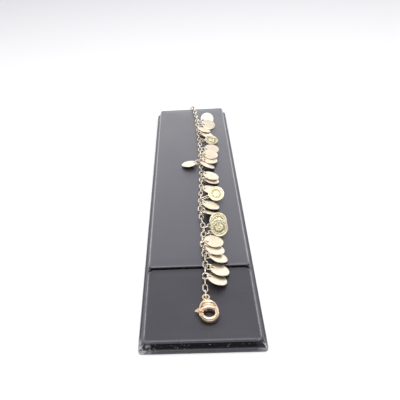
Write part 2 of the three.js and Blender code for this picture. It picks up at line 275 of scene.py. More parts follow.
def new_material(name: str) -> tuple[bpy.types.Material, Tree]:
    """Makes an empty node material.

    Args:
        name: Its name.

    Returns:
        The material and its node tree.
    """
    material = bpy.data.materials.new(name)
    material.use_nodes = True
    material.node_tree.nodes.clear()
    return material, material.node_tree


@dataclass(frozen=True)
class GoldPlate:
    """Gold-plated brass, tumbled bright: warm mirror-like metal softened by fine handling marks.

    Args:
        name: The material's name.
        colour: The plating's colour.
        hollow_colour: Its colour where it is abraded least and dulled, in hollows and smudges.
        roughness: Roughness of the clean metal.
        smudge: How much duller the smudged patches are.
        ripple_mm: Size of the gentle unevenness left by casting or stamping.
        ripple: How strongly that unevenness shows.
        patch_mm: Size of the smudged patches.
        grit_mm: Size of the polish's fine marks, drawn coarser than the real 0.03 mm so that they show.
    """

    name: str
    colour: str
    hollow_colour: str
    roughness: float
    smudge: float
    ripple_mm: float
    ripple: float
    patch_mm: float = 3.0
    grit_mm: float = 0.12

    def build(self) -> bpy.types.Material:
        """Builds the metal: dulled in patches and in hollows, with two scales of unevenness.

        Returns:
            The material.
        """
        material, tree = new_material(self.name)
        place = add_node(tree, "TexCoord").outputs["Object"]
        relief = add_node(tree, "Attribute", attribute_name="relief").outputs["Fac"]
        scales = ((self.patch_mm, 3.0), (self.ripple_mm, 2.0), (self.grit_mm, 2.0))
        patches, ripple, grit = (
            add_node(
                tree, "TexNoise", {"Vector": place, "Scale": per_metre(size), "Detail": detail},
            ).outputs[0]
            for size, detail in scales
        )
        dull = add_node(tree, "MapRange", [patches, 0.35, 0.7, 0.0, 0.5]).outputs[0]
        hollow = add_node(tree, "MapRange", [relief, 0.45, 0.0, 0.0, 1.0]).outputs[0]
        shade = add_node(tree, "Math", [dull, hollow], operation="MAXIMUM").outputs[0]
        tones = {"Factor": shade, 6: linear(self.colour), 7: linear(self.hollow_colour)}
        colour = add_node(tree, "Mix", tones, data_type="RGBA").outputs[2]
        dullest = self.roughness + self.smudge
        rough = add_node(tree, "MapRange", [patches, 0.3, 0.75, self.roughness, dullest]).outputs[0]
        soft = add_node(tree, "Bump", {"Height": ripple, "Strength": self.ripple, "Distance": 0.2 * MM})
        fine = add_node(tree, "Bump", {
            "Height": grit, "Strength": 0.05, "Distance": 0.02 * MM, "Normal": soft.outputs[0],
        })
        shader = add_node(tree, "BsdfPrincipled", {
            "Base Color": colour, "Metallic": 1.0, "Roughness": rough, "Normal": fine.outputs[0],
        })
        add_node(tree, "OutputMaterial", {"Surface": shader.outputs[0]})
        return material


@dataclass(frozen=True)
class Leatherette:
    """PVC leathercloth, embossed with a fine grain: charcoal, with a broad soft sheen, pale abrasion and a
    painted highlight on edges and folds, and painted shade in its tucks.

    Args:
        name: The material's name.
        colour: The cloth's colour.
        cloud_colour: The same, a shade lighter, where handling has polished it.
        worn_and_highlight_colour: Its pale colour where the skin is abraded or creased, and the painted
            highlight along the panels' edges and the folded ridges.
        gloss: The skin's reflection, half being that of plain plastic.
        lacquer: Weight of the clear finish on top, which gives the broad sheen.
        crease: How strongly the cloth's own creases and lumps show.
        lump_mm: Size of those lumps.
        lint: How rare the dust is that gathers in hollows: the noise level above which it shows.
        scuff_at: The middle of a scuffed corner, in millimetres.
        scuff_reach: How far the scuff's flakes reach from there, in millimetres, nothing where there is none.
        valley_colour: Its colour between the pebbles of the grain.
        shadow_colour: Its colour as painted shade: in the tucks under the panels, along the crease and on the
            board's near border.
        lint_colour: The dust's colour.
        grain_mm: Width of the embossed grain, drawn twice as coarse as the real 0.3 mm so that it shows.
        cloud_mm: Size of the polished clouds.
        fleck_mm: Size of the specks of dust.
        flaw_mm: Size of the rubbed patches and flakes.
        roughness: Roughness of the skin.
    """

    name: str
    colour: str
    cloud_colour: str
    worn_and_highlight_colour: str
    gloss: float = 1.0
    lacquer: float = 0.8
    crease: float = 0.1
    lump_mm: float = 6.0
    lint: float = 0.7
    scuff_at: tuple[float, float, float] = (0.0, 0.0, 0.0)
    scuff_reach: float = 0.0
    valley_colour: str = "#131315"
    shadow_colour: str = "#060607"
    lint_colour: str = "#d8d6d0"
    grain_mm: float = 0.6
    cloud_mm: float = 14.0
    fleck_mm: float = 0.5
    flaw_mm: float = 1.1
    roughness: float = 0.4

    def scuff(self, tree: Tree, place: Socket, flaws: Socket) -> Socket:
        """Lets the skin flake off round the scuffed corner.

        Args:
            tree: The material's node tree.
            place: Where on the cloth, in metres.
            flaws: The noise that the flakes follow.

        Returns:
            The share of skin that is gone, from 0 to 0.65.
        """
        middle = tuple(c * MM for c in self.scuff_at)
        reach = self.scuff_reach * MM
        away = add_node(tree, "VectorMath", [place, middle], operation="DISTANCE").outputs["Value"]
        near = add_node(tree, "MapRange", [away, reach, 0.1 * reach, 0.0, 0.65]).outputs[0]
        flakes = add_node(tree, "MapRange", [flaws, 0.5, 0.62, 0.0, 1.0]).outputs[0]
        return add_node(tree, "Math", [near, flakes], operation="MULTIPLY").outputs[0]

    def build(self) -> bpy.types.Material:
        """Builds the cloth: embossed grain over lumps, with clouds, pale abrasion and a painted highlight on
        edges and folds, painted shade in tucks and creases, and dust.

        Returns:
            The material.
        """
        material, tree = new_material(self.name)
        place = add_node(tree, "TexCoord").outputs["Object"]
        wear_and_painted_light = add_node(tree, "Attribute", attribute_name="relief").outputs["Fac"]
        scales = ((self.cloud_mm, 4.0), (self.fleck_mm, 2.0), (self.flaw_mm, 3.0), (self.lump_mm, 3.0))
        clouds, flecks, flaws, lumps = (
            add_node(
                tree, "TexNoise", {"Vector": place, "Scale": per_metre(size), "Detail": detail},
            ).outputs[0]
            for size, detail in scales
        )
        pebbles = add_node(
            tree, "TexVoronoi", {"Vector": place, "Scale": per_metre(self.grain_mm)},
            feature="DISTANCE_TO_EDGE",
        ).outputs["Distance"]
        grain = add_node(tree, "MapRange", [pebbles, 0.0, 0.28, 0.0, 1.0]).outputs[0]
        polished = add_node(tree, "MapRange", [clouds, 0.3, 0.7, 0.0, 1.0]).outputs[0]
        valley = add_node(tree, "MapRange", [grain, 0.0, 0.5, 0.25, 0.0]).outputs[0]
        # Painted shade below 0.5 of the relief: tucks, the crease and the board's near border. Above 0.5,
        # pale abrasion and a painted highlight on edges and fold ridges.
        painted_shade = add_node(tree, "MapRange", [wear_and_painted_light, 0.5, 0.0, 0.0, 0.9]).outputs[0]
        rubbing_and_highlight = add_node(tree, "MapRange", [wear_and_painted_light, 0.5, 0.95, 0.0, 1.0]).outputs[0]
        patchy = add_node(tree, "MapRange", [flaws, 0.3, 0.62, 0.25, 1.0]).outputs[0]
        patchy_rubbing_and_highlight = add_node(tree, "Math", [rubbing_and_highlight, patchy], operation="MULTIPLY").outputs[0]
        specks = add_node(tree, "MapRange", [flecks, self.lint, self.lint + 0.06, 0.0, 1.0]).outputs[0]
        kept = add_node(tree, "MapRange", [wear_and_painted_light, 0.5, 0.1, 0.1, 1.0]).outputs[0]
        dust = add_node(tree, "Math", [specks, kept], operation="MULTIPLY").outputs[0]
        layers = [
            (polished, self.cloud_colour), (valley, self.valley_colour), (painted_shade, self.shadow_colour),
            (patchy_rubbing_and_highlight, self.worn_and_highlight_colour), (dust, self.lint_colour),
        ]
        if self.scuff_reach:
            layers.append((self.scuff(tree, place, flaws), self.worn_and_highlight_colour))
        colour = linear(self.colour)
        for share, layer in layers:
            tones = {"Factor": share, 6: colour, 7: linear(layer)}
            colour = add_node(tree, "Mix", tones, data_type="RGBA").outputs[2]
        rough_ends = (self.roughness - 0.03, self.roughness + 0.05)
        rough = add_node(tree, "MapRange", [clouds, 0.3, 0.7, *rough_ends]).outputs[0]
        # Less gloss and lacquer where the shade is painted.
        shine = add_node(tree, "MapRange", [wear_and_painted_light, 0.5, 0.0, self.gloss, 0.15]).outputs[0]
        film = add_node(tree, "MapRange", [wear_and_painted_light, 0.5, 0.0, self.lacquer, 0.0]).outputs[0]
        soft = add_node(tree, "Bump", {"Height": lumps, "Strength": self.crease, "Distance": 0.3 * MM})
        emboss = add_node(tree, "Bump", {
            "Height": grain, "Strength": 0.22, "Distance": 0.05 * MM, "Normal": soft.outputs[0],
        }).outputs[0]
        shader = add_node(tree, "BsdfPrincipled", {
            "Base Color": colour, "Roughness": rough, "IOR": 1.53, "Specular IOR Level": shine,
            "Specular Tint": (0.9, 0.885, 1.0, 1.0), "Normal": emboss,
            "Coat Weight": film, "Coat Roughness": 0.42, "Coat Normal": emboss,
        })
        add_node(tree, "OutputMaterial", {"Surface": shader.outputs[0]})
        return material


@dataclass(frozen=True)
class PaintedFloor:
    """A plain pale studio floor, matt emulsion on board: even, with no gloss.

    Args:
        name: The material's name.
        colour: The paint's colour.
        nap_mm: Size of the roller's nap.
    """

    name: str
    colour: str
    nap_mm: float = 1.2

    def build(self) -> bpy.types.Material:
        """Builds the paint.

        Returns:
            The material.
        """
        material, tree = new_material(self.name)
        place = add_node(tree, "TexCoord").outputs["Object"]
        nap = add_node(tree, "TexNoise", {"Vector": place, "Scale": per_metre(self.nap_mm), "Detail": 3.0})
        bump = add_node(tree, "Bump", {"Height": nap.outputs[0], "Strength": 0.03, "Distance": 0.1 * MM})
        shader = add_node(tree, "BsdfPrincipled", {
            "Base Color": linear(self.colour), "Roughness": 0.9, "Specular IOR Level": 0.2,
            "Normal": bump.outputs[0],
        })
        add_node(tree, "OutputMaterial", {"Surface": shader.outputs[0]})
        return material


# Drawn wire takes the brightest polish, with a brown tarnish in patches.
CHAIN_GOLD = GoldPlate("gold_plated_wire", "#f8efe0", "#ac8f62", 0.15, 0.10, 1.2, 0.12)
# Castings are tumbled rather than polished: a little warmer and softer, orange in patches.
CLASP_GOLD = GoldPlate("gold_plated_casting", "#eeddc4", "#bb7a3c", 0.19, 0.10, 1.6, 0.10)
# Rolled sheet under a pale champagne plating has a satin face that spreads each highlight.
DISC_GOLD = GoldPlate("champagne_plated_sheet", "#eee3cf", "#e0d2b6", 0.36, 0.12, 2.4, 0.08)
# Cast and antiqued: greenish yellow on the raised work, olive in the ground.
COIN_GOLD = GoldPlate("antiqued_cast_gold", "#ebe4ca", "#978c60", 0.22, 0.12, 0.9, 0.16)
# The same cloth three times: glossy on the long panel; on the near one a shaded copy with less gloss and
# lacquer, so that it reads darker as painted shade; creased round the board, and duller there too so that its
# bevels read darker as painted shade.
STAND_COVER = Leatherette("charcoal_leathercloth", "#26252a", "#2b2a30", "#b4b3b8")
LOWER_COVER = Leatherette(
    "charcoal_leathercloth_shaded", "#26252a", "#2b2a30", "#b4b3b8", gloss=0.55, lacquer=0.35,
)
BOARD_COVER = Leatherette(
    "charcoal_leathercloth_creased", "#232227", "#2a292f", "#c4c3c6", gloss=0.5, lacquer=0.3, crease=0.6,
    lump_mm=1.8, lint=0.68, scuff_at=(-25.6, -111.8, 2.0), scuff_reach=7.0,
)
FLOOR_PAINT = PaintedFloor("matt_white_emulsion", "#f4f4f5")


# ---------------------------------------------------------------------------------------------------------
# Pieces
# ---------------------------------------------------------------------------------------------------------


def make_mesh(name: str, shape: Shape, smooth: bool = True) -> bpy.types.Object:
    """Makes a mesh object in metres from a shape in millimetres.

    Args:
        name: The object's name.
        shape: Its vertices and faces.
        smooth: Whether its faces are shaded smoothly.

    Returns:
        The object, linked to the scene.
    """
    mesh = bpy.data.meshes.new(name)
    mesh.from_pydata([tuple(p) for p in shape.points * MM], [], shape.faces)
    mesh.validate()
    if shape.relief is not None and len(mesh.vertices) == len(shape.relief):
        mark_relief(mesh, shape.relief)
    if smooth:
        mesh.shade_smooth()
    piece = bpy.data.objects.new(name, mesh)
    bpy.context.scene.collection.objects.link(piece)
    return piece


def mark_relief(mesh: bpy.types.Mesh, relief: Optional[np.ndarray] = None) -> None:
    """Stores each vertex's height share on a mesh, which on the cloth also marks painted shade and painted
    highlight.

    Args:
        mesh: The mesh.
        relief: The shares, half way everywhere where none is given.
    """
    values = np.full(len(mesh.vertices), 0.5) if relief is None else relief
    layer = mesh.attributes.get("relief") or mesh.attributes.new("relief", "FLOAT", "POINT")
    layer.data.foreach_set("value", values.astype(np.float32))


def face_outwards(piece: bpy.types.Object) -> None:
    """Merges doubled points of a closed mesh and turns its faces outwards.

    Args:
        piece: The piece with that mesh.
    """
    work = bmesh.new()
    work.from_mesh(piece.data)
    bmesh.ops.remove_doubles(work, verts=work.verts, dist=0.001 * MM)
    bmesh.ops.recalc_face_normals(work, faces=work.faces)
    work.to_mesh(piece.data)
    work.free()


def apply_modifiers(piece: bpy.types.Object) -> None:
    """Turns what a piece's modifiers make of its mesh into its mesh.

    Args:
        piece: The piece.
    """
    graph = bpy.context.evaluated_depsgraph_get()
    fixed = bpy.data.meshes.new_from_object(piece.evaluated_get(graph))
    piece.modifiers.clear()
    old = piece.data
    piece.data = fixed
    bpy.data.meshes.remove(old)


def dress(
    piece: bpy.types.Object, material: bpy.types.Material, node: str, body: Body = Body.DISPLAY
) -> None:
    """Gives a piece its material, its body and the node that it stands for, and reports it.

    Args:
        piece: The piece.
        material: Its material.
        node: The node that it replaces.
        body: The body that it rides on.
    """
    if "relief" not in piece.data.attributes:
        mark_relief(piece.data)
    piece.data.materials.clear()
    piece.data.materials.append(material)
    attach(piece, body.value)
    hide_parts(node)
    LOG.info("%s: %d faces on %s", piece.name, len(piece.data.polygons), body.value)


@dataclass
class DisplayStand:
    """The long display stand: a thin covered board under two padded panels that meet at a crease.

    Args:
        half_width: Half the board's width.
        board_near: The board's end nearest the clasp.
        board_far: Its other end.
        board_corner: Its corners' radius.
        pad_near: The near end of the lower panel.
        pad_far: The far end of the upper panel.
        pad_inset: How far the panels lie inside the board's sides.
        pad_bottom: Height of the panels' underside.
        pad_top: Height of the upper panel's top.
        corner_radius: Radius of the panels' outer corners.
        lower_far_radius: Radius of the lower panel's corners at the crease.
        upper_near_radius: Radius of the upper panel's corners at the crease.
        shoulder: Radius of the panels' top edge.
        crease_y: Where the crease lies.
        crease_gap: Width of the crease.
        lower_pull: How much further the lower panel is drawn back from it.
        lower_step: How much lower the lower panel's top starts.
        lower_slope_deg: How steeply it falls from there to the near end.
        crown: How far the padding lifts the covering.
        crown_reach: How far from an edge the covering is fully lifted.
        cloth_columns: Columns of the simulated covering.
        cloth_frames: Frames that it takes to settle.
        unevenness: Height of the padding's slow waves.
        pleats: How many small pleats gather at each outer corner.
        pleat_depth: How deep they are.
        edge_highlight_and_wear: How pale the panels' edges are painted: a painted highlight along them,
            partly abrasion.
    """

    half_width: float = 26.42
    board_near: float = -112.42
    board_far: float = 112.3
    board_corner: float = 1.4
    pad_near: float = -110.6
    pad_far: float = 110.5
    pad_inset: float = 2.2
    pad_bottom: float = 3.9
    pad_top: float = 7.0
    corner_radius: float = 2.2
    lower_far_radius: float = 3.3
    upper_near_radius: float = 1.5
    shoulder: float = 1.2
    crease_y: float = -68.6
    crease_gap: float = 0.5
    lower_pull: float = 0.35
    lower_step: float = 0.25
    lower_slope_deg: float = 1.2
    crown: float = 0.3
    crown_reach: float = 6.0
    cloth_columns: int = 37
    cloth_frames: int = 20
    unevenness: float = 0.02
    pleats: float = 9.0
    pleat_depth: float = 0.12
    edge_highlight_and_wear: float = 0.06

    @property
    def pad_half_width(self) -> float:
        """Half the panels' width."""
        return self.half_width - self.pad_inset

    def surface(self, y: float) -> float:
        """Finds the height of the panels' top.

        Args:
            y: A place along the stand.

        Returns:
            The height there, without the crown.
        """
        if y > self.crease_y:
            return self.pad_top
        fall = (self.crease_y - y) * math.tan(math.radians(self.lower_slope_deg))
        return self.pad_top - self.lower_step - fall

    def outline(self, half_x: float, ends: Pair, radii: Pair, inset: float) -> np.ndarray:
        """Draws one level outline of a slab with round corners.

        Args:
            half_x: Half the slab's width.
            ends: Its near end and its far end.
            radii: Corner radius at each of them.
            inset: How far inside the slab's outline this one lies.

        Returns:
            Points of x and y, the same number for every inset.
        """
        corner_steps, side_steps, end_steps = 10, 44, 14
        near, far = (max(radius - inset, 0.0) for radius in radii)
        hx, low, high = half_x - inset, ends[0] + inset, ends[1] - inset
        corners = [
            (hx - near, low + near, -90, near), (hx - far, high - far, 0, far),
            (-hx + far, high - far, 90, far), (-hx + near, low + near, 180, near),
        ]
        points: list[Pair] = []
        for k, (cx, cy, start, radius) in enumerate(corners):
            for i in range(corner_steps + 1):
                angle = math.radians(start + 90 * i / corner_steps)
                points.append((cx + radius * math.cos(angle), cy + radius * math.sin(angle)))
            nx, ny, next_start, next_radius = corners[(k + 1) % len(corners)]
            angle = math.radians(next_start)
            goal = (nx + next_radius * math.cos(angle), ny + next_radius * math.sin(angle))
            steps = side_steps if k % 2 == 0 else end_steps
            here = points[-1]
            for i in range(1, steps):
                share = i / steps
                points.append((here[0] + share * (goal[0] - here[0]), here[1] + share * (goal[1] - here[1])))
        return np.array(points)

    def slab(self, half_x: float, ends: Pair, radii: Pair, profile: Sequence[Pair]) -> Shape:
        """Stacks outlines that shrink and rise as a profile says, closed below and above.

        Args:
            half_x: Half the slab's width.
            ends: Its near end and its far end.
            radii: Corner radius at each of them.
            profile: Inset and height of each level, from the underside up.

        Returns:
            The slab.
        """
        rows = []
        for inset, z in profile:
            ring = self.outline(half_x, ends, radii, inset)
            rows.append(np.column_stack([ring, np.full(len(ring), z)]))
        count = len(rows[0])
        faces = grid_faces(len(rows), count, False, True)
        faces += [row_cap(0, count, turned=True), row_cap(len(rows) - 1, count)]
        return Shape(np.vstack(rows), faces, np.full(len(rows) * count, 0.5))

    def pad_profile(self) -> list[Pair]:
        """Draws the side of the padding: tucked in below, upright, tight-edged, then flat towards the middle.

        Returns:
            Inset and height of each level, without the crown.
        """
        levels = [(0.9, 3.9), (0.5, 3.93), (0.2, 4.05), (0.05, 4.3), (0.0, 4.6), (0.0, 5.1), (0.0, 5.5)]
        low = self.pad_top - self.crown
        shoulder_steps = 8
        for i in range(shoulder_steps + 1):
            angle = math.radians(90 * i / shoulder_steps)
            inset = self.shoulder * (1 - math.cos(angle))
            levels.append((inset, low - self.shoulder * (1 - math.sin(angle))))
        insets = (1.6, 2.2, 3.0, 4.0, 5.2, 6.6, 8.2, 10.0, 12.0, 14.0, 16.0, 18.0, 19.5)
        return levels + [(inset, low) for inset in insets]

    def lift(self, half_x: float, ends: Pair, points: np.ndarray) -> np.ndarray:
        """Finds how far the padding lifts the covering, from 0 at a panel's edges to 1.

        Args:
            half_x: Half the panel's width.
            ends: Its near end and its far end.
            points: Places, one row of x and y each.
        """
        edge = self.shoulder
        inset_x = half_x - np.abs(points[:, 0])
        inset_y = np.minimum(points[:, 1] - ends[0], ends[1] - points[:, 1])
        plain = smooth_step(edge, self.crown_reach, inset_x) * smooth_step(edge, self.crown_reach, inset_y)
        xs = np.linspace(-half_x + edge, half_x - edge, self.cloth_columns)
        ys = np.linspace(ends[0] + edge, ends[1] - edge, round((ends[1] - ends[0]) / (xs[1] - xs[0])))
        heights = self.blown_sheet(xs, ys)
        column = np.interp(points[:, 0], xs, np.arange(len(xs)))
        row = np.interp(points[:, 1], ys, np.arange(len(ys)))
        c0, r0 = np.minimum(column.astype(int), len(xs) - 2), np.minimum(row.astype(int), len(ys) - 2)
        u, v = column - c0, row - r0
        near = heights[r0, c0] * (1 - u) + heights[r0, c0 + 1] * u
        far = heights[r0 + 1, c0] * (1 - u) + heights[r0 + 1, c0 + 1] * u
        blown = np.clip((near * (1 - v) + far * v) / np.percentile(heights, 90), 0, 1)
        return np.where(np.minimum(inset_x, inset_y) > edge, 0.5 * plain + 0.5 * blown, 0)

    def blown_sheet(self, xs: np.ndarray, ys: np.ndarray) -> np.ndarray:
        """Simulates the covering over its padding: a sheet held at its edges and pushed up from below.

        Args:
            xs: Where its columns start out.
            ys: Where its rows start out.

        Returns:
            The height of every row and column, in millimetres.
        """
        flat = np.array([(x, y, 0.0) for y in ys for x in xs])
        sheet = make_mesh("cover_sheet", Shape(flat, grid_faces(len(ys), len(xs), False, False)))
        held = sheet.vertex_groups.new(name="held")
        rim = [i for i, (x, y, _) in enumerate(flat) if x in (xs[0], xs[-1]) or y in (ys[0], ys[-1])]
        held.add(rim, 1.0, "REPLACE")
        cloth = sheet.modifiers.new("cover", "CLOTH")
        cloth.settings.vertex_group_mass = "held"
        cloth.settings.quality = 5
        cloth.settings.tension_stiffness = cloth.settings.compression_stiffness = 15
        cloth.settings.shear_stiffness, cloth.settings.bending_stiffness = 5, 0.5
        cloth.settings.use_pressure, cloth.settings.uniform_pressure_force = True, 4
        cloth.settings.effector_weights.gravity = 0
        cloth.collision_settings.use_collision = False
        cloth.point_cache.frame_start, cloth.point_cache.frame_end = 1, self.cloth_frames
        for frame_number in range(1, self.cloth_frames + 1):
            bpy.context.scene.frame_set(frame_number)
            bpy.context.evaluated_depsgraph_get()
        apply_modifiers(sheet)
        bpy.context.scene.frame_set(1)
        heights = np.empty(len(flat) * 3)
        sheet.data.vertices.foreach_get("co", heights)
        bpy.data.objects.remove(sheet)
        return heights.reshape(-1, 3)[:, 2].reshape(len(ys), len(xs)) / MM

    def panel_ends(self, which: Panel) -> Pair:
        """Finds a panel's near end and far end.

        Args:
            which: The panel.

        Returns:
            Both places along the stand.
        """
        half_gap = self.crease_gap / 2
        if which is Panel.LOWER:
            return self.pad_near, self.crease_y - half_gap - self.lower_pull
        return self.crease_y + half_gap, self.pad_far

    def panel(self, which: Panel) -> Shape:
        """Shapes a padded panel: tight where its covering is drawn into the crease, softly uneven elsewhere.

        Args:
            which: The panel.

        Returns:
            The panel, with a painted highlight and some abrasion marked along its edges, and painted shade in
            its tucks and along the crease.
        """
        ends = self.panel_ends(which)
        is_lower = which is Panel.LOWER
        outer_end, crease_end = ends if is_lower else ends[::-1]
        near_radius = self.corner_radius if is_lower else self.upper_near_radius
        far_radius = self.lower_far_radius if is_lower else self.corner_radius
        profile = self.pad_profile()
        shape = self.slab(self.pad_half_width, ends, (near_radius, far_radius), profile)
        p = shape.points
        share = np.clip((p[:, 2] - self.pad_bottom) / (self.pad_top - self.crown - self.pad_bottom), 0, 1)
        p[:, 2] -= share * (self.pad_top - np.array([self.surface(y) for y in p[:, 1]]))
        edge_x = self.pad_half_width - np.abs(p[:, 0])
        edge_y = np.abs(p[:, 1] - outer_end)
        corner = np.exp(-((edge_x**2 + edge_y**2) / 5.0))
        gather = np.clip(1 - (share - 0.45) ** 2 * 4, 0, 1) * corner
        folds = np.abs(np.sin(np.arctan2(edge_y, edge_x + 0.01) * self.pleats))
        p[:, 0] -= np.sign(p[:, 0]) * folds * self.pleat_depth * gather
        p[:, 2] += self.crown * self.lift(self.pad_half_width, ends, p[:, :2])
        wave = np.sin(p[:, 0] * 0.31 + 0.7) * np.sin(p[:, 1] * 0.13 + 0.4)
        p[:, 2] += smooth_step(0.85, 1.0, share) * self.unevenness * (wave - 1)
        around = len(p) // len(profile)
        inset, height = (np.repeat([level[k] for level in profile], around) for k in (0, 1))
        from_crease = np.abs(p[:, 1] - crease_end)
        from_ends = np.minimum(p[:, 1] - ends[0], ends[1] - p[:, 1])
        # Painted highlight along the top edges, stronger on the sides than at the ends, with some abrasion;
        # painted shade in the tuck below and where the covering is drawn into the crease.
        rubbing_and_highlight = hump(inset, 0.4, 0.3) * smooth_step(5.4, 6.2, height) * smooth_step(0.6, 2.4, from_crease)
        rubbing_and_highlight *= 1 + 3 * smooth_step(1.2, 2.6, from_ends)
        tucked = 1 - smooth_step(3.95, 4.5, height)
        crease_shade = (1 - smooth_step(0.3, 1.0, from_crease)) * (1 - smooth_step(0.8, 0.97, share))
        relief = 0.5 + self.edge_highlight_and_wear * rubbing_and_highlight + 0.25 * corner * gather - 0.5 * tucked - 0.4 * crease_shade
        # Painted shade: the lower panel darkens towards the crease.
        if is_lower:
            relief -= 0.4 * np.exp(-from_crease / 1.5)
        shape.relief = np.clip(relief, 0, 1)
        return shape

    def board(self) -> Shape:
        """Shapes the board under the panels: an upright lip, then a border that slopes up to them all round.

        Returns:
            The board, with painted shade marked on its near border and its near corners marked as abraded.
        """
        profile = [
            (0.35, 0.0), (0.1, 0.08), (0.0, 0.35), (0.0, 1.2),
            (0.03, 1.55), (0.16, 1.8), (0.38, 1.9), (0.6, 1.88),
            (0.8, 1.93), (1.1, 2.2), (1.4, 2.6), (1.7, 3.1), (1.95, 3.5), (2.15, 3.6), (2.6, 3.6), (3.2, 3.6),
        ]
        ends, radii = (self.board_near, self.board_far), (self.board_corner, self.board_corner)
        shape = self.slab(self.half_width, ends, radii, profile)
        p = shape.points
        from_side = self.half_width - np.abs(p[:, 0])
        from_end = p[:, 1] - self.board_near
        # Painted shade on the near border; the near corners are abraded, more on the left.
        near_border_shade = smooth_step(-0.2, 0.5, from_side - from_end) * smooth_step(0.5, 0.9, from_end)
        corner = np.exp(-((from_side**2 + from_end**2) / 6.0))
        more_on_left = np.where(p[:, 0] < 0, 1.0, 0.5)
        crinkle = np.sin(p[:, 1] * 2.1) * np.sin(p[:, 1] * 0.73 + 1.0) * smooth_step(1.9, 2.6, p[:, 2])
        p[:, 2] += 0.05 * crinkle * (1 - smooth_step(1.9, 2.2, from_side)) * (from_side > 0.7)
        shape.relief = np.clip(0.5 + 0.5 * corner * more_on_left - 0.5 * near_border_shade, 0, 1)
        return shape

    def fold(self, side: Side) -> Shape:
        """Lays a ridge of covering folded over a near corner of the board.

        Args:
            side: The corner's side.

        Returns:
            The ridge, thick in the middle and running out at both ends.
        """
        steps, sides = 26, 10
        sign = side.value
        start = np.array([sign * 24.2, -110.4, 3.65])
        end = np.array([sign * 26.0, -112.05, 1.95])
        along = (end - start) / np.linalg.norm(end - start)
        across = np.cross(along, [0.0, 0.0, 1.0])
        turn = np.arange(sides) * 2 * math.pi / sides
        rows = []
        for share in np.linspace(0, 1, steps):
            thick = 0.04 + math.sin(math.pi * share) ** 0.6 * (0.3 + 0.05 * math.sin(17 * share + sign))
            middle = start + (end - start) * share + across * 0.12 * math.sin(9 * share + sign)
            section = np.outer(np.cos(turn), across) + np.outer(np.sin(turn), [0.0, 0.0, 0.75])
            rows.append(middle + section * thick)
        faces = grid_faces(steps, sides, False, True)
        faces += [row_cap(0, sides), row_cap(steps - 1, sides, turned=True)]
        # The ridge carries a painted highlight with some abrasion, brighter on the right.
        return Shape(np.vstack(rows), faces, np.full(steps * sides, 1.0 if side is Side.RIGHT else 0.85))

    def build(self) -> None:
        """Builds and dresses the board and both panels."""
        # The near panel gets the shaded copy of the cloth, as painted shade.
        cover, shaded_cover, board_cover = STAND_COVER.build(), LOWER_COVER.build(), BOARD_COVER.build()
        folds = [self.fold(side) for side in Side]
        board = make_mesh("covered_board", joined([self.board(), *folds]))
        lower, upper = (make_mesh(which.value, self.panel(which)) for which in Panel)
        face_outwards(board)
        for piece in (lower, upper):
            face_outwards(piece)
            finer = piece.modifiers.new("finer", "SUBSURF")
            finer.subdivision_type, finer.levels = "SIMPLE", 1
            apply_modifiers(piece)
        dress(board, board_cover, "stand_base")
        dress(lower, shaded_cover, "pad_lower")
        dress(upper, cover, "pad_upper")


class Route:
    """A smooth line through knots, the centripetal kind that neither loops nor overshoots."""

    def __init__(self, knots: Sequence[Sequence[float]], divisions: int = 2000) -> None:
        """Lays the line and measures it.

        Args:
            knots: Points that the line passes through.
            divisions: How finely its length is measured.
        """
        self.knots = np.array(knots, float)
        self.shares = np.linspace(0, 1, divisions + 1)
        samples = np.array([self.at(t) for t in self.shares])
        steps = np.linalg.norm(np.diff(samples, axis=0), axis=1)
        self.reach = np.concatenate([[0], np.cumsum(steps)])
        self.length = float(self.reach[-1])

    def at(self, t: float) -> np.ndarray:
        """Finds a point between two knots on the cubic whose tangents their neighbours set.

        Args:
            t: The share of the way through the knots.

        Returns:
            The point.
        """
        k = self.knots
        last = len(k) - 1
        place = min(max(t, 0.0), 1.0) * last
        i = min(int(place), last - 1)
        w = place - i
        p0 = k[i - 1] if i > 0 else 2 * k[0] - k[1]
        p1, p2 = k[i], k[i + 1]
        p3 = k[i + 2] if i + 2 <= last else 2 * k[last] - k[last - 1]
        d0, d1, d2 = (float(((b - a) ** 2).sum()) ** 0.25 for a, b in ((p0, p1), (p1, p2), (p2, p3)))
        t1 = ((p1 - p0) / d0 - (p2 - p0) / (d0 + d1) + (p2 - p1) / d1) * d1
        t2 = ((p2 - p1) / d1 - (p3 - p1) / (d1 + d2) + (p3 - p2) / d2) * d1
        c2 = -3 * p1 + 3 * p2 - 2 * t1 - t2
        c3 = 2 * p1 - 2 * p2 + t1 + t2
        return p1 + t1 * w + c2 * w**2 + c3 * w**3

    def place(self, reach: float) -> tuple[Vector, Vector]:
        """Finds a point by its distance along the line.

        Args:
            reach: The distance from the line's start.

        Returns:
            The point and the line's direction there.
        """
        t = float(np.interp(reach, self.reach, self.shares))
        along = self.at(t + 1e-4) - self.at(t - 1e-4)
        return Vector(self.at(t)), Vector(along).normalized()


@dataclass
class Link:
    """Where a link or ring lies.

    Args:
        middle: Its middle.
        along: Where its length points.
        across: A direction in its plane, to one side.
    """

    middle: Vector
    along: Vector
    across: Vector

    def matrix(self) -> Matrix:
        """Carries an oval made in the XY plane to the link's place.

        Returns:
            The turn and shift.
        """
        normal = self.along.cross(self.across).normalized()
        side = normal.cross(self.along).normalized()
        turn = Matrix((self.along.normalized(), side, normal)).transposed()
        return Matrix.Translation(self.middle) @ turn.to_4x4()


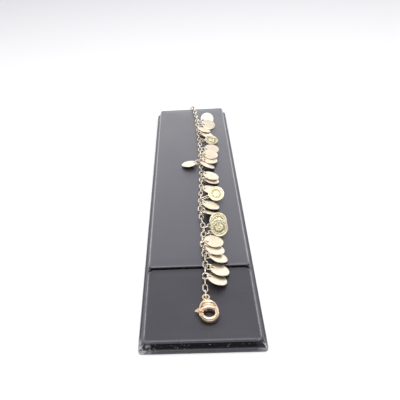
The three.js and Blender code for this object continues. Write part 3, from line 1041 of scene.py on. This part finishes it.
@dataclass(frozen=True)
class CharmPlace:
    """Where a charm lies, and the jump ring it hangs on.

    Args:
        node: Its node's name.
        x: Across the stand.
        y: Along the stand.
        z: Height of its middle.
        lean: How far its far edge is raised, in degrees.
        slope: How far its right side is lowered, in degrees.
        turn: How far it is turned about its own middle, in degrees.
        ring: The jump ring's length, its dip and how far it reaches aside, both in degrees.
    """

    node: str
    x: float
    y: float
    z: float
    lean: float
    slope: float
    turn: float
    ring: tuple[float, float, float]

    @property
    def is_coin(self) -> bool:
        """Whether the charm is a coin rather than a plain disc."""
        return self.node.startswith("coin")

    def matrix(self) -> Matrix:
        """Carries a charm made flat about the origin to its place."""
        turned = turn_y(self.slope) @ turn_x(self.lean) @ turn_z(self.turn)
        return Matrix.Translation((self.x, self.y, self.z)) @ turned


CHARMS = (
    CharmPlace("disc_01", 7.9, -79.44, 8.9, -12, 20, -10, (3.6, 10, 0)),
    CharmPlace("disc_02", 9.4, -73.36, 8.8, -10, 18, -10, (4, 10, 0)),
    CharmPlace("disc_03", 9.3, -65.3, 9.3, -12, 20, 0, (4, 20, 0)),
    CharmPlace("disc_04", 8.1, -60.63, 10.3, -8, 15, -20, (3.2, 30, 10)),
    CharmPlace("disc_05", 7.9, -55.6, 11, -5, 12, 20, (4.6, 30, 0)),
    CharmPlace("coin_01", 11.2, -45.3, 11, 50, 7, 30, (3.2, 0, 0)),
    CharmPlace("coin_02", 10.9, -41.3, 12.1, 48, 8, 30, (3.6, 10, 0)),
    CharmPlace("disc_06", 7.8, -31.5, 10.3, -27, 16, -30, (3.2, 0, 0)),
    CharmPlace("disc_07", 8.2, -22.8, 9.1, -10, 18, -20, (3.6, 10, 0)),
    CharmPlace("coin_03", 11.7, -13, 9.8, 30, 2, 20, (4.6, 0, 0)),
    CharmPlace("disc_08", 8.9, -7.2, 8.9, -5, 14, 0, (3.2, 0, 0)),
    CharmPlace("disc_09", 9.8, 3.5, 8.9, -4, 18, 20, (4, 10, 0)),
    CharmPlace("disc_10", 9.8, 6.2, 9.9, -4, 16, -25, (3.8, 20, 0)),
    CharmPlace("disc_11", 8.3, 19.26, 9.7, -12, 25, -45, (3.2, 0, 0)),
    CharmPlace("disc_12", -3, 23.8, 8.3, -9, -6, 190, (4, 0, 0)),
    CharmPlace("disc_13", 10.2, 26.23, 9.4, -1, 13, 20, (3.4, 10, 0)),
    CharmPlace("disc_14", 10.8, 31.03, 10.4, 5, 11, 10, (4.3, 20, 0)),
    CharmPlace("disc_15", 12, 39.3, 9.7, 8, 7, 10, (4.6, 0, 0)),
    CharmPlace("coin_04", 12.6, 52.4, 9.2, 13, 9, 10, (3.4, 0, 0)),
    CharmPlace("disc_16", 9.9, 61.64, 9, -3, 20, 10, (3.6, 10, 0)),
    CharmPlace("disc_17", 8.2, 67.34, 9.9, -9, 19, -20, (3.2, 30, 0)),
    CharmPlace("disc_18", 11.8, 76.2, 9.4, 20, 14, 10, (5.6, 10, 0)),
    CharmPlace("disc_19", 11.3, 82.1, 10.9, 48, 10, 20, (4.9, 10, 0)),
)


@dataclass
class DiscCharm:
    """A plain disc stamped from sheet, with a hole near its edge.

    Args:
        radius: The disc's radius.
        thickness: The sheet's thickness.
        hole_radius: The hole's radius.
        hole_inset: How far inside the rim the hole's middle lies.
        edge: How far the tumbled edges are rounded.
        dome: How much higher the middle is than the rim.
        around: Points round the disc.
    """

    radius: float = 4.8
    thickness: float = 0.45
    hole_radius: float = 0.58
    hole_inset: float = 1.35
    edge: float = 0.12
    dome: float = 0.1
    around: int = 72

    @property
    def hole_at(self) -> float:
        """Where the hole's middle lies, to the left of the disc's middle."""
        return self.hole_inset - self.radius

    def level(self, flat: np.ndarray, z: float) -> np.ndarray:
        """Lifts a ring of points to a height, following the disc's dome."""
        bulge = self.dome * (np.clip(1 - (flat**2).sum(axis=1) / self.radius**2, 0, 1) - 0.5)
        return np.column_stack([flat, z + bulge])

    def shape(self) -> Shape:
        """Shapes the disc from rings of points, from the hole's edge out to the rim, above and below.

        Returns:
            The disc, flat about the origin.
        """
        angle = np.arange(self.around) * 2 * math.pi / self.around
        circle = np.stack([np.cos(angle), np.sin(angle)], axis=1)
        half, shift = self.thickness / 2, np.array([self.hole_at, 0])
        soft_radius = self.hole_radius + self.edge
        hole, soft_hole = (circle * radius + shift for radius in (self.hole_radius, soft_radius))
        rim, soft_rim = (circle * radius for radius in (self.radius, self.radius - self.edge))
        spans = (0.12, 0.3, 0.5, 0.7, 0.88)
        face = [soft_hole, *[soft_hole + s * (soft_rim - soft_hole) for s in spans], soft_rim]
        rows = [self.level(hole, -half + self.edge), self.level(hole, half - self.edge)]
        rows += [self.level(flat, half) for flat in face]
        rows += [self.level(rim, half - self.edge), self.level(rim, -half + self.edge)]
        rows += [self.level(flat, -half) for flat in reversed(face)]
        return Shape(np.vstack(rows), grid_faces(len(rows), self.around, True, True))


@dataclass
class CoinCharm:
    """A cast coin: beaded rim, a ring of short rays, an inner ring and a rosette, with an eye at its edge.

    Args:
        radius: The coin's radius.
        rim_half: Half the rim's thickness.
        rim_width: The rim's width.
        field_half: Half the thickness of the plain ground.
        ring_radius: Radius of the inner ring.
        ray_radius: Where the rays lie, outside that ring.
        petals: Petals of the rosette.
        petal_reach: How far they reach.
        relief: Height of the petals.
        boss_radius: Radius of the knob in the middle.
        beads: Beads inside the rim.
        rays: Rays between the inner ring and the beads.
        eye_radius: Radius of the eye's centre line.
        eye_wire: Thickness of the eye's wire.
        eye_weld: How far the eye is set into the rim.
        around: Points round the coin.
        rings: Rings of points across its face.
    """

    radius: float = 4.5
    rim_half: float = 0.5
    rim_width: float = 0.6
    field_half: float = 0.3
    ring_radius: float = 2.9
    ray_radius: float = 3.25
    petals: int = 8
    petal_reach: float = 2.45
    relief: float = 0.2
    boss_radius: float = 0.7
    beads: int = 44
    rays: int = 24
    eye_radius: float = 0.85
    eye_wire: float = 0.5
    eye_weld: float = 0.1
    around: int = 176
    rings: int = 46

    @property
    def hole_at(self) -> float:
        """Where the eye's middle lies, to the left of the coin's middle."""
        return self.eye_weld - self.radius - self.eye_radius

    def height(self, r: float, angle: np.ndarray) -> np.ndarray:
        """Finds the height of the relief above the coin's middle plane.

        Args:
            r: Distance from the coin's middle.
            angle: Directions from it.

        Returns:
            The heights.
        """
        inside = self.radius - self.rim_width
        rim = smooth_step(inside - 0.15, inside + 0.1, r) * (self.rim_half - self.field_half)
        beads = 0.13 * hump(r, inside - 0.32, 0.2) * (0.5 + 0.5 * np.cos(self.beads * angle))
        ring = 0.14 * hump(r, self.ring_radius, 0.12)
        rays = 0.1 * hump(r, self.ray_radius, 0.16) * np.clip(np.cos(self.rays * angle), 0, 1) ** 0.5
        wave = np.abs(np.cos(self.petals / 2 * angle))
        petal = smooth_step(0.0, 0.5, self.petal_reach * wave**0.55 - r) * smooth_step(0.55, 0.9, r)
        vein = 1 - 0.45 * hump(wave, 1, 0.012)
        between_petals = np.abs(np.sin(self.petals / 2 * angle))
        leaf = 0.55 * smooth_step(0.0, 0.4, 2.3 * between_petals**6 - r + 0.25) * smooth_step(0.9, 1.3, r)
        dome = np.sqrt(np.clip(1 - (r / self.boss_radius) ** 2, 0, 1))
        boss = 0.24 * dome * (0.9 + 0.1 * np.cos(6 * angle))
        rosette = self.relief * np.maximum(petal * vein, leaf)
        return self.field_half + rim + beads + ring + rays + rosette + boss

    def shape(self) -> Shape:
        """Shapes the coin, with relief on its face, a plain back and its eye.

        Returns:
            The coin, flat about the origin.
        """
        angle = np.arange(self.around) * 2 * math.pi / self.around
        flat = np.ones(self.around)
        chamfer = 0.16
        levels = []
        for r in np.linspace(0.04, self.radius - chamfer, self.rings):
            z = self.height(r, angle)
            levels.append((r, z, np.clip((z - self.field_half) / self.relief, 0, 1)))
        edge_and_back = (
            (self.radius - 0.04, self.rim_half - 0.06, 1.0), (self.radius, self.rim_half - 0.2, 0.6),
            (self.radius, 0.2 - self.rim_half, 0.6), (self.radius - chamfer, -self.rim_half, 1.0),
            (self.radius - self.rim_width, -self.rim_half, 1.0),
            (self.radius - self.rim_width - 0.15, -self.field_half, 0.1), (0.04, -self.field_half, 0.4),
        )
        levels += [(r, flat * z, flat * share) for r, z, share in edge_and_back]
        rows = [np.column_stack([r * np.cos(angle), r * np.sin(angle), z]) for r, z, _ in levels]
        faces = grid_faces(len(rows), self.around, False, True)
        faces += [row_cap(0, self.around), row_cap(len(rows) - 1, self.around, turned=True)]
        disc = Shape(np.vstack(rows), faces, np.concatenate([share for _, _, share in levels]))
        eye = wire_oval(self.eye_radius, self.eye_radius, self.eye_wire / 2, 32, 12)
        return joined([disc, eye.placed(Matrix.Translation((self.hole_at, 0, 0)))])


@dataclass
class CableChain:
    """The cable chain of oval links, each a quarter turn from the next, with the charms' jump rings.

    Args:
        stand: The stand that it lies on.
        disc: The plain discs that it carries.
        coin: The coins that it carries.
        length: A link's length.
        width: A link's width.
        wire: The wire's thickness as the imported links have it, which spaces them.
        wire_sides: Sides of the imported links' wire.
        full_wire: The round wire's own thickness.
        weld: How far fused neighbours overlap.
        loose_gap: The gap where the two lengths of chain meet.
        start: How far along its route the first link starts.
        lift: Height of the links' middles above the panels.
        sway_deg: How far the links roll to and fro.
        sway_step: How quickly they do.
        near_links: Links in the near length.
        near_end_y: Where the near length ends.
        whole: The chain's whole length.
        ring_width: A jump ring's width.
        ring_wire: Its wire's thickness.
        on_pad: Its route over the panels: x and y.
        behind: Its route over the far edge and along the floor: x, y and z.
    """

    stand: DisplayStand
    disc: DiscCharm
    coin: CoinCharm
    length: float = 4.7
    width: float = 2.8
    wire: float = 0.6
    wire_sides: int = 5
    full_wire: float = 0.68
    weld: float = 0.08
    loose_gap: float = 0.32
    start: float = 0.2
    lift: float = 1.55
    sway_deg: float = 12.0
    sway_step: float = 1.7
    near_links: int = 32
    near_end_y: float = 30.0
    whole: float = 212.0
    ring_width: float = 3.2
    ring_wire: float = 0.5
    on_pad: tuple[Pair, ...] = (
        (2.42, -89.97), (2.4, -87), (2.45, -84), (2.6, -79), (2.8, -73), (3.2, -68), (3.1, -63), (2.6, -57.5),
        (2.6, -51), (3.3, -45), (3.2, -40), (2.7, -34), (2.3, -26), (2.6, -19), (3.2, -10), (3.7, -2),
        (4.0, 6), (4.4, 15), (4.5, 28), (4.6, 44), (4.5, 58), (4.2, 68), (3.8, 81), (3.5, 92), (2.7, 101),
    )
    behind: tuple[tuple[float, float, float], ...] = (
        (2.1, 106.5, 8.6), (1.6, 109.4, 8.6), (1.0, 112.1, 7.6), (0.5, 113.5, 5.4), (0.2, 114.6, 3.5),
        (-0.2, 117.2, 2.0), (-0.8, 120.6, 1.6), (-1.5, 125, 1.55), (-2.2, 130, 1.55),
    )

    def links(self) -> list[Link]:
        """Strings the links along the route.

        Returns:
            Every link's place, from the clasp on.
        """
        knots = [(x, y, self.stand.surface(y) + self.lift) for x, y in self.on_pad]
        route = Route([*knots, *self.behind])
        end_to_wire = (self.length - self.wire) / 2
        flat = (self.wire / 2) * math.cos(math.pi / self.wire_sides)
        fused = 2 * end_to_wire - 2 * flat + self.weld
        loose = 2 * end_to_wire - self.wire - self.loose_gap
        links: list[Link] = []
        reach = end_to_wire + self.start
        while reach + end_to_wire < min(route.length, self.whole):
            middle, along = route.place(reach)
            number = len(links)
            roll = ((number + 1) % 2) * 90 + self.sway_deg * math.sin(self.sway_step * number)
            level = Vector((along.y, -along.x, 0)).normalized()
            across = Matrix.Rotation(math.radians(roll), 3, along) @ level
            links.append(Link(middle, along, across))
            reach += loose if len(links) == self.near_links else fused
        return links

    def jump_ring(self, charm: CharmPlace) -> Shape:
        """Bends the jump ring that holds a charm.

        Args:
            charm: The charm's place.

        Returns:
            The ring, through the charm's hole.
        """
        length, dip, aside = charm.ring
        half = (length - self.ring_wire) / 2
        hole_at = self.coin.hole_at if charm.is_coin else self.disc.hole_at
        ring = wire_oval(half, (self.ring_width - self.ring_wire) / 2, self.ring_wire / 2)
        reach = Matrix.Translation((hole_at, 0, 0)) @ turn_z(aside) @ turn_y(-dip)
        return ring.placed(charm.matrix() @ reach @ Matrix.Translation((-half, 0, 0)) @ turn_x(90))

    def build(self) -> list[Link]:
        """Builds and dresses both lengths of chain, each with its charms' jump rings.

        Returns:
            The links' places.
        """
        gold = CHAIN_GOLD.build()
        links = self.links()
        full = self.full_wire
        oval = wire_oval((self.length - full) / 2, (self.width - full) / 2, full / 2)
        lengths = (
            ("near_chain", "chain_near", links[: self.near_links], True),
            ("far_chain", "chain_far", links[self.near_links :], False),
        )
        for name, node, strung, is_near in lengths:
            rings = [self.jump_ring(charm) for charm in CHARMS if (charm.y < self.near_end_y) == is_near]
            piece = make_mesh(name, joined([*[oval.placed(link.matrix()) for link in strung], *rings]))
            face_outwards(piece)
            dress(piece, gold, node)
        return links


@dataclass
class Charms:
    """All the charms on the chain.

    Args:
        disc: The plain discs.
        coin: The relief coins.
    """

    disc: DiscCharm
    coin: CoinCharm

    def build(self) -> None:
        """Builds and dresses every charm."""
        disc_kind = (self.disc.shape(), DISC_GOLD.build(), Slot.PALE_GOLD)
        coin_kind = (self.coin.shape(), COIN_GOLD.build(), Slot.COIN_GOLD)
        for charm in CHARMS:
            shape, gold, slot = coin_kind if charm.is_coin else disc_kind
            piece = make_mesh(charm.node.replace("_", "_charm_"), shape.placed(charm.matrix()))
            face_outwards(piece)
            dress(piece, gold, charm.node)


@dataclass
class EndRing:
    """The plain ring at the chain's far end, which the clasp hooks into when someone wears the anklet.

    Args:
        chain: The chain that it ends.
        radius: Radius of the wire's centre line.
        wire: The wire's thickness.
        fall: How steeply it lies down from the last link.
    """

    chain: CableChain
    radius: float = 2.14
    wire: float = 0.9
    fall: float = 0.5

    def build(self, last: Link) -> None:
        """Builds and dresses the ring.

        Args:
            last: The link that it hangs in.
        """
        along = Vector((last.along.x, last.along.y, -self.fall)).normalized()
        reach = self.chain.length / 2 - self.chain.wire - self.wire / 2 - self.chain.loose_gap + self.radius
        place = Link(last.middle + along * reach, along, Vector((along.y, -along.x, 0)))
        ring = wire_oval(self.radius, self.radius, self.wire / 2, 48, 14)
        piece = make_mesh("clasp_end_ring", ring.placed(place.matrix()))
        face_outwards(piece)
        dress(piece, CLASP_GOLD.build(), "end_ring")


@dataclass
class LobsterClasp:
    """The lobster clasp: a pear-shaped casting round a ring, with a sprung lever that closes its mouth.

    It is drawn in its own frame, with the ring's middle at the origin and the eye towards +Y.

    Args:
        stand: The stand that it lies on.
        x: The ring's place across the stand.
        y: Its place along the stand.
        turn_deg: How far the clasp is turned on the panel.
        clear_of_pad: The gap between them.
        ring_radius: Radius of the ring's centre line.
        ring_half_width: Half the width of the ring's section.
        ring_half_thickness: Half its thickness.
        casing_half_width: Half the casing's width.
        casing_height: How far the casing reaches above its base.
        casing_base: Height of that base above the ring's middle.
        casing_half_thickness: Half the casing's greatest thickness.
        rim_at: Where its rounded rim lies, from 0 at the ring to 1 at the outline.
        rim_half_width: Half the rim's width on the same scale.
        groove_height: Thickness left in the groove inside the rim, as a share of the rim's.
        voxel: How finely ring, casing and eye are grown together.
        mouth_deg: The directions between which the ring is cut open.
        mouth_reach: How far out that cut goes.
        mouth_half_depth: How far it goes above and below the ring's plane.
        sweep_radius: Reach of the lever's tip from its pivot, which the cut also clears.
        sweep_deg: The directions between which it swings.
        slot_box: Left, near, right and far side of the slot that the lever turns in.
        slot_half_thickness: Half the slot's thickness.
        eye_y: Where the eye's middle lies.
        eye_radius: Radius of its centre line.
        eye_wire: Its thickness.
        pivot: Where the lever's pin stands.
        pin_radius: The pin's radius.
        pin_half_length: Half its length.
        bore_radius: Radius of the lever's bore.
        bore_half_depth: How far it is cut above and below the lever's plane.
        round_steps: Sides of the pin and the bore.
        lever_half_thickness: Half the lever's thickness.
        lever_edge: How far its edges are rounded.
        lever_edge_deg: The angle above which an edge is rounded.
        lever_outline: Its outline, from its tip round the pivot to the thumb knob and back.
        body_crisp_deg: The angle above which the casting's edges stay crisp.
        lever_crisp_deg: The same for the lever's.
    """

    stand: DisplayStand
    x: float = 3.4
    y: float = -98.6
    turn_deg: float = 6.0
    clear_of_pad: float = 0.15
    ring_radius: float = 3.25
    ring_half_width: float = 1.1
    ring_half_thickness: float = 1.5
    casing_half_width: float = 4.2
    casing_height: float = 7.1
    casing_base: float = 0.6
    casing_half_thickness: float = 1.25
    rim_at: float = 0.77
    rim_half_width: float = 0.27
    groove_height: float = 0.3
    voxel: float = 0.1
    mouth_deg: Pair = (165.0, 198.0)
    mouth_reach: float = 9.0
    mouth_half_depth: float = 4.0
    sweep_radius: float = 3.98
    sweep_deg: tuple[int, int] = (249, 303)
    slot_box: tuple[float, float, float, float] = (-6.8, -0.9, -0.8, 4.3)
    slot_half_thickness: float = 0.8
    eye_y: float = 9.2
    eye_radius: float = 1.35
    eye_wire: float = 1.0
    pivot: Pair = (-2.35, 2.55)
    pin_radius: float = 0.4
    pin_half_length: float = 1.2
    bore_radius: float = 0.7
    bore_half_depth: float = 2.0
    round_steps: int = 24
    lever_half_thickness: float = 0.5
    lever_edge: float = 0.16
    lever_edge_deg: float = 40.0
    lever_outline: tuple[Pair, ...] = (
        (-2.15, -1.15), (-2.32, -0.5), (-2.42, 0.1), (-2.36, 0.65), (-2.12, 1.22), (-1.35, 1.8), (-1.1, 2.6),
        (-1.5, 3.45), (-2.4, 3.85), (-3.3, 3.75), (-4.1, 3.3), (-5.55, 2.45), (-5.95, 1.9), (-5.75, 1.4),
        (-4.7, 1.45), (-4.4, 1.0), (-4.3, 0.1), (-4.2, -0.8), (-2.95, -1.2),
    )
    body_crisp_deg: float = 50.0
    lever_crisp_deg: float = 35.0

    def matrix(self) -> Matrix:
        """Carries the clasp from its own frame to its place on the stand.

        Returns:
            The turn and shift.
        """
        height = self.stand.surface(self.y) + self.ring_half_thickness + self.clear_of_pad
        turned = turn_x(self.stand.lower_slope_deg) @ turn_z(self.turn_deg)
        return Matrix.Translation((self.x, self.y, height)) @ turned

    def ring(self) -> Shape:
        """Shapes the claw as a full ring, taller than it is wide in section.

        Returns:
            The ring.
        """
        around, sides = 72, 24
        turn = np.arange(around) * 2 * math.pi / around
        section = np.arange(sides) * 2 * math.pi / sides
        reach = self.ring_radius + self.ring_half_width * np.cos(section)
        rise = self.ring_half_thickness * np.sin(section)
        points = np.stack([
            np.outer(np.cos(turn), reach), np.outer(np.sin(turn), reach), np.tile(rise, (around, 1)),
        ], axis=2)
        return Shape(points.reshape(-1, 3), grid_faces(around, sides, True, True))

    def casing(self) -> Shape:
        """Shapes the pear-shaped casing above the ring: a rounded rim round a groove, the same on both faces.

        Returns:
            The casing.
        """
        around, across = 60, 30
        start = math.asin(self.casing_base / self.ring_radius)
        turn = np.linspace(0, math.pi, around)
        width, height = self.casing_half_width * np.cos(turn), self.casing_height * np.sin(turn)
        outer = np.stack([width, self.casing_base + height], axis=1)
        inner_turn = np.linspace(start, math.pi - start, around)
        inner = self.ring_radius * np.stack([np.cos(inner_turn), np.sin(inner_turn)], axis=1)
        shares = np.linspace(0, 1, across)
        rims = np.sqrt(np.clip(1 - ((shares - self.rim_at) / self.rim_half_width) ** 2, 0, None))
        rise = self.casing_half_thickness * np.maximum(self.groove_height, rims)
        levels = [*zip(shares, rise), *zip(shares[::-1], -rise[::-1])]
        rows = [np.column_stack([inner + s * (outer - inner), np.full(around, z)]) for s, z in levels]
        count = len(rows)
        faces = grid_faces(count, around, True, False)
        faces.append(tuple(r * around for r in range(count))[::-1])
        faces.append(tuple(r * around + around - 1 for r in range(count)))
        return Shape(np.vstack(rows), faces)

    def prism(self, outline: Sequence[Sequence[float]], half_thickness: float) -> Shape:
        """Draws an outline out to both sides of its plane.

        Args:
            outline: Points of x and y.
            half_thickness: How far to each side.

        Returns:
            The prism.
        """
        flat = np.array(outline, float)
        count = len(flat)
        rows = [np.column_stack([flat, np.full(count, side * half_thickness)]) for side in (-1, 1)]
        faces = grid_faces(2, count, False, True) + [row_cap(0, count, turned=True), row_cap(1, count)]
        return Shape(np.vstack(rows), faces)

    def about_pivot(self, radius: float, degrees: Iterable[float]) -> list[Pair]:
        """Points at a distance from the pivot, in the directions given."""
        turns = [math.radians(a) for a in degrees]
        return [(self.pivot[0] + radius * math.cos(a), self.pivot[1] + radius * math.sin(a)) for a in turns]

    def pivot_circle(self, radius: float) -> list[Pair]:
        """A circle about the pivot, for the pin and its bore."""
        return self.about_pivot(radius, (360 * i / self.round_steps for i in range(self.round_steps)))

    def cut(self, piece: bpy.types.Object, cutter: Shape) -> None:
        """Cuts a shape out of a piece.

        Args:
            piece: The piece.
            cutter: The shape.
        """
        tool = make_mesh("cutter", cutter, smooth=False)
        face_outwards(tool)
        modifier = piece.modifiers.new("cut", "BOOLEAN")
        modifier.operation = "DIFFERENCE"
        modifier.solver = "MANIFOLD"
        modifier.object = tool
        apply_modifiers(piece)
        bpy.data.objects.remove(tool)

    def finish_casting(self, piece: bpy.types.Object, sharp_deg: float, body: Body, node: str) -> None:
        """Puts a piece in its place on the stand, keeps its edges crisp and dresses it.

        Args:
            piece: The piece, still in the clasp's own frame.
            sharp_deg: The angle above which an edge stays crisp.
            body: The body that it rides on.
            node: The node that it replaces.
        """
        piece.data.transform(scaled(self.matrix()))
        piece.data.shade_smooth()
        piece.data.set_sharp_from_angle(angle=math.radians(sharp_deg))
        dress(piece, CLASP_GOLD.build(), node, body)

    def build_body(self) -> None:
        """Builds the casting: ring, casing and eye grown together, then the mouth and the slot cut."""
        eye = wire_oval(self.eye_radius, self.eye_radius, self.eye_wire / 2, 40, 16)
        eye = eye.placed(Matrix.Translation((0, self.eye_y, 0)))
        piece = make_mesh("clasp_casting", joined([self.ring(), self.casing(), eye]))
        face_outwards(piece)
        remesh = piece.modifiers.new("grown_together", "REMESH")
        remesh.mode = "VOXEL"
        remesh.voxel_size = self.voxel * MM
        soften = piece.modifiers.new("soften", "SMOOTH")
        soften.factor, soften.iterations = 0.5, 6
        apply_modifiers(piece)
        sides = [math.radians(a) for a in self.mouth_deg]
        far = [(self.mouth_reach * math.cos(a), self.mouth_reach * math.sin(a)) for a in sides]
        swept = self.about_pivot(self.sweep_radius, range(self.sweep_deg[0], self.sweep_deg[1] + 1, 3))
        self.cut(piece, self.prism([(0, 0), *far, *swept], self.mouth_half_depth))
        left, near, right, back = self.slot_box
        slot = [(left, near), (right, near), (right, back), (left, back)]
        self.cut(piece, self.prism(slot, self.slot_half_thickness))
        pin = make_mesh("pin", self.prism(self.pivot_circle(self.pin_radius), self.pin_half_length))
        with_pin = bpy.data.meshes.new("clasp_casting")
        work = bmesh.new()
        work.from_mesh(piece.data)
        work.from_mesh(pin.data)
        work.to_mesh(with_pin)
        work.free()
        bpy.data.objects.remove(pin)
        piece.data = with_pin
        self.finish_casting(piece, self.body_crisp_deg, Body.DISPLAY, "clasp_body")

    def build_lever(self) -> None:
        """Builds the lever with its bore and softened edges."""
        lever = self.prism(self.lever_outline, self.lever_half_thickness)
        piece = make_mesh("clasp_thumb_lever", lever, smooth=False)
        face_outwards(piece)
        self.cut(piece, self.prism(self.pivot_circle(self.bore_radius), self.bore_half_depth))
        bevel = piece.modifiers.new("soft_edges", "BEVEL")
        bevel.width, bevel.segments, bevel.limit_method = self.lever_edge * MM, 3, "ANGLE"
        bevel.angle_limit = math.radians(self.lever_edge_deg)
        apply_modifiers(piece)
        self.finish_casting(piece, self.lever_crisp_deg, Body.LEVER, "clasp_lever")

    def build(self) -> None:
        """Builds the casting and the lever."""
        self.build_body()
        self.build_lever()


# ---------------------------------------------------------------------------------------------------------
# Studio
# ---------------------------------------------------------------------------------------------------------


@dataclass(frozen=True)
class Softbox:
    """A square softbox that faces the anklet.

    Args:
        name: The light's name.
        place: Where it hangs, in millimetres.
        size: Its side, in millimetres.
        power: Its power in watts.
    """

    name: str
    place: tuple[float, float, float]
    size: float
    power: float

    def hang(self) -> None:
        """Adds the light to the scene."""
        data = bpy.data.lights.new(self.name, "AREA")
        data.shape, data.size, data.energy = "SQUARE", self.size * MM, self.power
        light = bpy.data.objects.new(self.name, data)
        bpy.context.scene.collection.objects.link(light)
        light.location = Vector(self.place) * MM
        light.rotation_mode = "QUATERNION"
        light.rotation_quaternion = (-light.location).to_track_quat("-Z", "Y")


@dataclass
class Studio:
    """A plain pale floor, soft light all round that is brightest low down, and the camera.

    Args:
        camera_place: Where the camera stands.
        pitch_deg: How far it looks down.
        yaw_deg: How far it looks towards +X.
        roll_deg: How far it is rolled.
        focal_share: Its focal length as a share of the sensor's width.
        shift_share: Its sideways shift as a share of that width.
        sensor_mm: That width.
        horizon_light: Strength of the surround at the horizon.
        low_light: Its strength above that.
        high_light: Its strength overhead.
        side_light: Share of it that is left at both sides.
        near_light: Share of it that is left behind the camera.
        horizon_deg: Between which heights it falls from the horizon's strength to the low one.
        edge_deg: Between which heights it falls from the low strength to the high one.
        side_reach: Between which distances along Y it rises from the side's share to the whole.
        near_reach: Between which distances behind the camera it falls to the near share.
        skirt_deg: Between which heights a bright skirt behind the camera ends.
        tint: Colour of the surround.
        floor_reach: How far the floor reaches each way.
        floor_drop: How far it lies below the stand, so that the two never touch.
        softboxes: The softboxes.
    """

    camera_place: tuple[float, float, float] = (-1.25, -231.5, 160.15)
    pitch_deg: float = 35.03
    yaw_deg: float = -3.19
    roll_deg: float = 4.2
    focal_share: float = 1.1675
    shift_share: float = 0.0696
    sensor_mm: float = 36.0
    horizon_light: float = 1.85
    low_light: float = 0.98
    high_light: float = 0.75
    side_light: float = 0.36
    near_light: float = 0.12
    horizon_deg: Pair = (15.0, 40.0)
    edge_deg: Pair = (50.0, 75.0)
    side_reach: Pair = (0.15, 0.55)
    near_reach: Pair = (0.1, 0.5)
    skirt_deg: Pair = (8.0, 26.0)
    tint: tuple[float, float, float, float] = (0.975, 0.97, 1.0, 1.0)
    floor_reach: float = 3000.0
    floor_drop: float = 0.03
    softboxes: tuple[Softbox, ...] = (
        Softbox("overhead_softbox", (60, -220, 640), 860, 4.6),
        Softbox("key_lamp", (-190, -120, 600), 90, 0.4),
    )

    def add_camera(self) -> None:
        """Puts the camera in its place and makes it the scene's."""
        pitch, yaw, roll = (math.radians(a) for a in (self.pitch_deg, self.yaw_deg, self.roll_deg))
        forward = Vector((math.sin(yaw) * math.cos(pitch), math.cos(yaw) * math.cos(pitch), -math.sin(pitch)))
        right = Vector((math.cos(yaw), -math.sin(yaw), 0))
        down = forward.cross(right)
        side = math.cos(roll) * right + math.sin(roll) * down
        below = -math.sin(roll) * right + math.cos(roll) * down
        data = bpy.data.cameras.new("view")
        data.sensor_width = self.sensor_mm
        data.lens = self.focal_share * self.sensor_mm
        data.shift_x = self.shift_share
        data.clip_start, data.clip_end = 0.01, 10
        camera = bpy.data.objects.new("view", data)
        bpy.context.scene.collection.objects.link(camera)
        turn = Matrix((side, -below, -forward)).transposed().to_4x4()
        camera.matrix_world = Matrix.Translation(Vector(self.camera_place) * MM) @ turn
        bpy.context.scene.camera = camera

    def add_floor(self) -> None:
        """Lays the floor under the stand."""
        reach, z = self.floor_reach, -self.floor_drop
        flat = np.array([[-reach, -reach, z], [reach, -reach, z], [reach, reach, z], [-reach, reach, z]])
        floor = make_mesh("studio_floor", Shape(flat, [(0, 1, 2, 3)]), smooth=False)
        floor.data.materials.append(FLOOR_PAINT.build())

    def add_surround(self) -> None:
        """Lights the scene from all round: a bright band low down, darker overhead and behind the camera."""
        world = bpy.data.worlds.new("soft_surround")
        bpy.context.scene.world = world
        world.use_nodes = True
        tree = world.node_tree
        tree.nodes.clear()
        horizon, edge, skirt_ends = (
            [math.sin(math.radians(a)) for a in ends]
            for ends in (self.horizon_deg, self.edge_deg, self.skirt_deg)
        )
        place = add_node(tree, "TexCoord").outputs["Generated"]
        axes = add_node(tree, "SeparateXYZ", [place]).outputs
        up, ahead = axes["Z"], axes["Y"]
        low = add_node(tree, "MapRange", [up, *horizon, self.horizon_light, self.low_light]).outputs[0]
        dim = add_node(tree, "MapRange", [up, *edge, 1.0, self.high_light / self.low_light]).outputs[0]
        far = add_node(tree, "MapRange", [ahead, *self.side_reach, self.side_light, 1.0]).outputs[0]
        near_share = self.near_light / self.side_light
        near_ends = [-reach for reach in self.near_reach[::-1]]
        behind = add_node(tree, "MapRange", [ahead, *near_ends, near_share, 1.0]).outputs[0]
        skirt = add_node(tree, "MapRange", [up, *skirt_ends, 1.0, 0.0]).outputs[0]
        near = add_node(tree, "Math", [behind, skirt], operation="MAXIMUM").outputs[0]
        band = add_node(tree, "Math", [low, dim], operation="MULTIPLY").outputs[0]
        round_about = add_node(tree, "Math", [far, near], operation="MULTIPLY").outputs[0]
        overhead = add_node(tree, "MapRange", [up, *edge, 0.0, 1.0]).outputs[0]
        level = add_node(tree, "Mix", {0: overhead, 2: round_about, 3: 1.0}, data_type="FLOAT").outputs[0]
        strength = add_node(tree, "Math", [band, level], operation="MULTIPLY").outputs[0]
        light = add_node(tree, "Background", {"Color": self.tint, "Strength": strength})
        add_node(tree, "OutputWorld", {"Surface": light.outputs[0]})

    def build(self) -> None:
        """Builds the whole studio."""
        bpy.context.scene.view_settings.view_transform = "Standard"
        self.add_camera()
        self.add_floor()
        self.add_surround()
        for softbox in self.softboxes:
            softbox.hang()


def main() -> None:
    """Builds the sub-assemblies in order."""
    logging.basicConfig(level=logging.INFO, format="%(message)s")
    Studio().build()
    stand, disc, coin = DisplayStand(), DiscCharm(), CoinCharm()
    chain = CableChain(stand, disc, coin)
    stand.build()
    links = chain.build()
    Charms(disc, coin).build()
    EndRing(chain).build(links[-1])
    LobsterClasp(stand).build()


if __name__ == "__main__":
    main()
